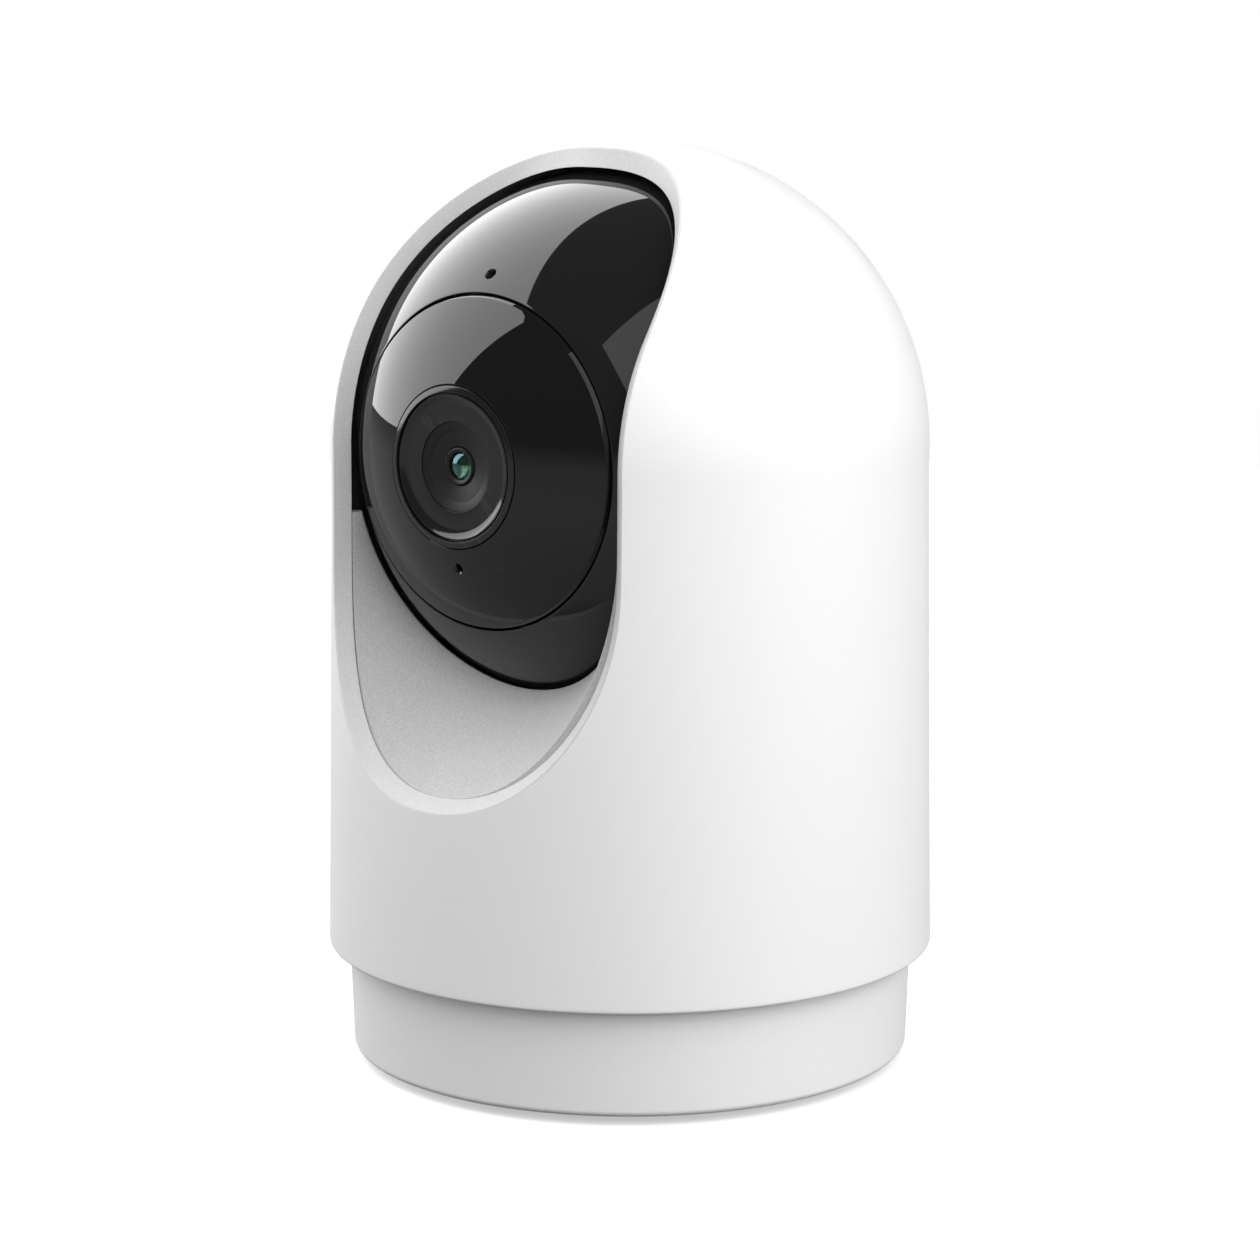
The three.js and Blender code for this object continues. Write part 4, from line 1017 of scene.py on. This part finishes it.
def face_cover():
    inside = COVER_CURVE - COVER_WALL
    chamfer = COVER_RIM - 0.32
    front = np.linspace(chamfer - 0.3, COVER_HOLE + 0.35, 44)
    back = np.linspace(COVER_HOLE + 0.5, COVER_INNER_RADIUS, 20)
    corners = [
        ((COVER_INNER_RADIUS, COVER_BACK), 0),
        ((COVER_RIM, COVER_BACK), 0.1),
        ((COVER_RIM, cover_depth(chamfer) - 0.62), 0.04),
        ((chamfer, cover_depth(chamfer)), 0.03),
        *(((r, cover_depth(r)), 0) for r in front),
        ((COVER_HOLE, cover_depth(COVER_HOLE)), 0.1),
        ((COVER_HOLE, cover_depth(COVER_HOLE, inside)), 0.05),
        *(((r, cover_depth(r, inside)), 0) for r in back),
    ]
    body = lathe("face_cover_skin", rounded(corners, 3), COVER_TINT, 320, optical(), sharp=12)
    flare = [(28, 0), (34.53, 0), (34.75, 0.22), (38, 3)]
    mic = prism("mic", circle(0.5, 40), flare, COVER_TINT, optical(MICROPHONE_ELEVATION))
    return carve(body, [mic], sharp=12)


def lens_ring():
    """An outer band, a narrow groove, a rim, and a coved edge down to a sunk face."""
    cove = [(7.5 + COVE_RADIUS * math.sin(a), SUNK_FACE + COVE_RADIUS * (1 - math.cos(a)))
            for a in np.radians(np.linspace(40, 0, 12))]
    return lathe("lens_ring_skin", outline(
        (5.5, 29), (RING_RADIUS, 29, 0.05), (RING_RADIUS, LENS_FACE, 0.05),
        (9.12, LENS_FACE + 0.2, 0.04), (9.06, LENS_FACE - 0.35, 0.08),
        (8.82, LENS_FACE - 0.35, 0.08), (8.78, LENS_FACE, 0.03),
        *cove, (5.5, SUNK_FACE, 0.03),
    ), RING_BLACK, 256, optical(), sharp=20)


def lens_well():
    """The conical well round the front element, with a fine step half way."""
    return lathe("lens_well_skin", outline(
        (2.4, 29.2), (WELL_RADIUS, 29.2), (WELL_RADIUS, SUNK_FACE - 0.12, 0.05),
        (4.42, SUNK_FACE - 0.45, 0.03), (4.36, SUNK_FACE - 0.53, 0.03),
        (2.4, SUNK_FACE - 0.85, 0.06),
    ), WELL_BLACK, 224, optical(), sharp=20)


def lens_barrel():
    return lathe("lens_barrel_skin", outline(
        (0, 9), (7, 9, 0.2), (7, 28.5, 0.3), (BARREL_RADIUS, 28.5, 0.1), (BARREL_RADIUS, 32.4, 0.25),
        (1.7, 32.1, 0.05), (1.68, 30.8), (0, 30.8), closed=False,
    ), WELL_BLACK, 128, optical(), closed=False)


def spherical(radius, edge_height, crown, steps=16):
    """(radius, height) points over a shallow dome or dish, from its rim to its middle."""
    rise = crown - edge_height
    curve = (radius**2 + rise**2) / (2 * rise)
    way = math.copysign(1, rise)
    return [(r, crown - curve + way * math.sqrt(curve**2 - r**2))
            for r in np.linspace(radius, 0, steps)]


def front_element():
    line = [(0, 31.7), (1.45, 31.7), (ELEMENT_RADIUS, 31.8)] + spherical(ELEMENT_RADIUS, 31.9, 32.4)
    return lathe("front_element_skin", line, MATERIALS["lens_glass"], 96, optical(), closed=False)


def inner_element():
    """A dished element behind the front one."""
    line = [(0, 30.9), (ELEMENT_RADIUS, 30.9), (ELEMENT_RADIUS, 31.6)] + spherical(1.3, 31.6, 31.1)
    return lathe("inner_element_skin", line, MATERIALS["lens_glass"], 96, optical(), closed=False)


stands_for(face_cover(), "ball", "black_gloss", "face_cover")
stands_for(lens_ring(), "ball", "black_gloss", "lens_ring")
stands_for(lens_well(), "ball", "black_gloss", "lens_ring")
stands_for(lens_barrel(), "ball", "black_matt", "lens_barrel")
stands_for(front_element(), "ball", "lens_glass", "front_lens_element")
stands_for(inner_element(), "ball", "lens_glass", "front_lens_element")

# -------- reset button


def reset_button():
    line = outline((0, 29), (2, 29, 0.1), (2, 29.8, 0.1), (1.2, 29.8), (1.2, 32.95, 0.25),
                   (0, 33.05), closed=False)
    place = optical(CARD_ELEVATION, BUTTON_ACROSS)
    return lathe("reset_button_skin", line, MATERIALS["black_matt"], 64, place, closed=False)


stands_for(reset_button(), "reset_button", "black_matt", "reset_button")

# -------- carried-over CAD nodes

CAD_WELD = 2e-6
CAD_EDGE = 0.12

made_here = [o for o in bpy.context.scene.objects if "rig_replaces" in o]
REPLACED = {name for o in made_here for name in o["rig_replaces"]}
for name, node in frame["nodes"].items():
    if name in REPLACED:
        continue
    node.data.materials[0] = MATERIALS[plain_name(node.data.materials[0])]
    weld = node.modifiers.new("weld", "WELD")
    weld.merge_threshold = CAD_WELD
    bevel = node.modifiers.new("edges", "BEVEL")
    bevel.width = CAD_EDGE * MM
    bevel.segments = 2
    bevel.limit_method = "ANGLE"
    bevel.angle_limit = math.radians(40)
    bevel.use_clamp_overlap = True

# -------- floor, lights, camera

FLOOR_RADIUS = 600.0
FLOOR_POINTS = 96
FLOOR_TONE, FLOOR_GLOW = 0.88, 0.45
FLOOR_BOUNCE = 0.08
BACKGROUND = 1.0
EVEN_LIGHT = 0.46
# Brightness that reflections find round the object, by the sine of its elevation.
AMBIENT = [
    (-1.0, 0.1), (-0.94, 0.12), (-0.86, 0.4), (-0.4, 0.55), (-0.1, 0.5), (0.06, 0.15), (1.0, 0.13)
]


def pale_floor(name, tone, glow, drop):
    """A flat disc under the object; drop keeps it just below the standing surface."""
    surface = Surface(name)
    shade = surface.blend(surface.noise(40.0, 3.0), (tone,) * 3, (tone * 1.02,) * 3)
    surface.set(
        Base_Color=shade, Roughness=0.9, Specular_IOR_Level=0.0,
        Emission_Color=(1.0, 1.0, 1.0), Emission_Strength=glow,
    )
    rim = [(*p, 0.0) for p in circle(FLOOR_RADIUS, FLOOR_POINTS)]
    obj = make_object(name, rim, [tuple(range(FLOOR_POINTS))], surface.material)
    obj.modifiers.clear()
    obj.location.z = -drop * MM
    return obj


# The camera sees a bright floor; the object sees a dark one, so its underside keeps its shadows.
floor = pale_floor("floor", FLOOR_TONE, FLOOR_GLOW, 0.02)
floor.visible_diffuse = floor.visible_glossy = False
floor.visible_transmission = floor.visible_shadow = False
bounce = pale_floor("floor_bounce", FLOOR_BOUNCE, 0.0, 0.06)
bounce.visible_camera = bounce.visible_glossy = False


def area_light(name, radiance, width, height):
    """A rectangle of an even radiance that the camera does not see."""
    light = bpy.data.lights.new(name, "AREA")
    light.shape = "RECTANGLE"
    light.size, light.size_y = width * MM, height * MM
    light.energy = radiance * math.pi * (width * MM) * (height * MM)
    obj = add_object(name, light)
    obj.visible_camera = False
    return obj


def reflected_light(name, side, radiance):
    """A broad light on one side, leaning over the object, that shows only in reflections."""
    distance, lean = 900.0, math.radians(35)
    obj = area_light(name, radiance, 1.96 * distance, 1.33 * distance)
    out = Vector((side * math.cos(lean), 0, math.sin(lean)))
    up = Vector((-side * math.sin(lean), 0, math.cos(lean)))
    turn = Matrix((up.cross(out), up, out)).transposed()
    spot = out * distance + up * -0.025 * distance
    place = Matrix.Translation(Vector(BALL_CENTRE) * MM + spot * MM)
    obj.matrix_world = place @ turn.to_4x4()
    obj.visible_diffuse = False


def away_from(azimuth, elevation):
    """The direction towards an azimuth from the front and an elevation, both in radians."""
    flat = math.cos(elevation)
    return Vector((math.sin(azimuth) * flat, -math.cos(azimuth) * flat, math.sin(elevation)))


def fill_light(name, radiance, azimuth, elevation, distance, side):
    """A soft square light that shows in no reflection."""
    out = away_from(math.radians(azimuth), math.radians(elevation))
    obj = area_light(name, radiance, side, side)
    obj.location = (Vector(BALL_CENTRE) + out * distance) * MM
    obj.rotation_mode = "QUATERNION"
    obj.rotation_quaternion = out.to_track_quat("Z", "Y")
    obj.visible_glossy = False


reflected_light("left_reflection", -1, 3.7)
reflected_light("right_reflection", 1, 1.2)
fill_light("left_light", 2.1, -82, 20, distance=900, side=1500)
fill_light("right_light", 1.95, 98, 10, distance=900, side=1500)
fill_light("front_light", 1.2, 42, 42, distance=700, side=700)

world = bpy.data.worlds.new("studio")
bpy.context.scene.world = world
world.use_nodes = True
nodes, link = world.node_tree.nodes, world.node_tree.links.new


def white_background(strength):
    node = nodes.new("ShaderNodeBackground")
    node.inputs["Color"].default_value = (1, 1, 1, 1)
    node.inputs["Strength"].default_value = strength
    return node


def chosen_by(ray, otherwise, chosen):
    """One background for a kind of ray, another for the rest."""
    mix = nodes.new("ShaderNodeMixShader")
    link(path.outputs[ray], mix.inputs["Fac"])
    link(otherwise.outputs[0], mix.inputs[1])
    link(chosen.outputs[0], mix.inputs[2])
    return mix


# Reflections find the ambient ramp, diffuse surfaces an even light and the camera plain white.
surroundings = nodes["Background"]
direction = nodes.new("ShaderNodeSeparateXYZ")
link(nodes.new("ShaderNodeTexCoord").outputs["Generated"], direction.inputs["Vector"])
upness = nodes.new("ShaderNodeMapRange")
upness.inputs["From Min"].default_value = -1.0
link(direction.outputs["Z"], upness.inputs["Value"])
ramp_node = nodes.new("ShaderNodeValToRGB")
stops = ramp_node.color_ramp.elements
stops[0].position, stops[1].position = 0.0, 1.0
for sine, _ in AMBIENT[1:-1]:
    stops.new((sine + 1) / 2)
for stop, (_, level) in zip(stops, AMBIENT):
    stop.color = (level, level, level, 1)
link(upness.outputs["Result"], ramp_node.inputs["Fac"])
link(ramp_node.outputs["Color"], surroundings.inputs["Color"])
path = nodes.new("ShaderNodeLightPath")
lighting = chosen_by("Is Diffuse Ray", surroundings, white_background(EVEN_LIGHT))
seen = chosen_by("Is Camera Ray", lighting, white_background(BACKGROUND))
link(seen.outputs["Shader"], nodes["World Output"].inputs["Surface"])

# Fitted to the photograph: distance in metres, azimuth from the front, lens in millimetres.
TARGET = Vector((0, 0, 55.0)) * MM
CAMERA_DISTANCE = 0.4661
CAMERA_AZIMUTH, CAMERA_ELEVATION = math.radians(39.84), math.radians(10.04)
lens = bpy.data.cameras.new("camera")
lens.sensor_width = 36.0
lens.lens = 103.7
lens.clip_start, lens.clip_end = 0.01, 50.0
camera = add_object("camera", lens)
back = away_from(CAMERA_AZIMUTH, CAMERA_ELEVATION)
camera.location = TARGET + back * CAMERA_DISTANCE
camera.rotation_mode = "QUATERNION"
camera.rotation_quaternion = (-back).to_track_quat("-Z", "Y")
bpy.context.scene.camera = camera
bpy.context.scene.view_settings.view_transform = "Standard"
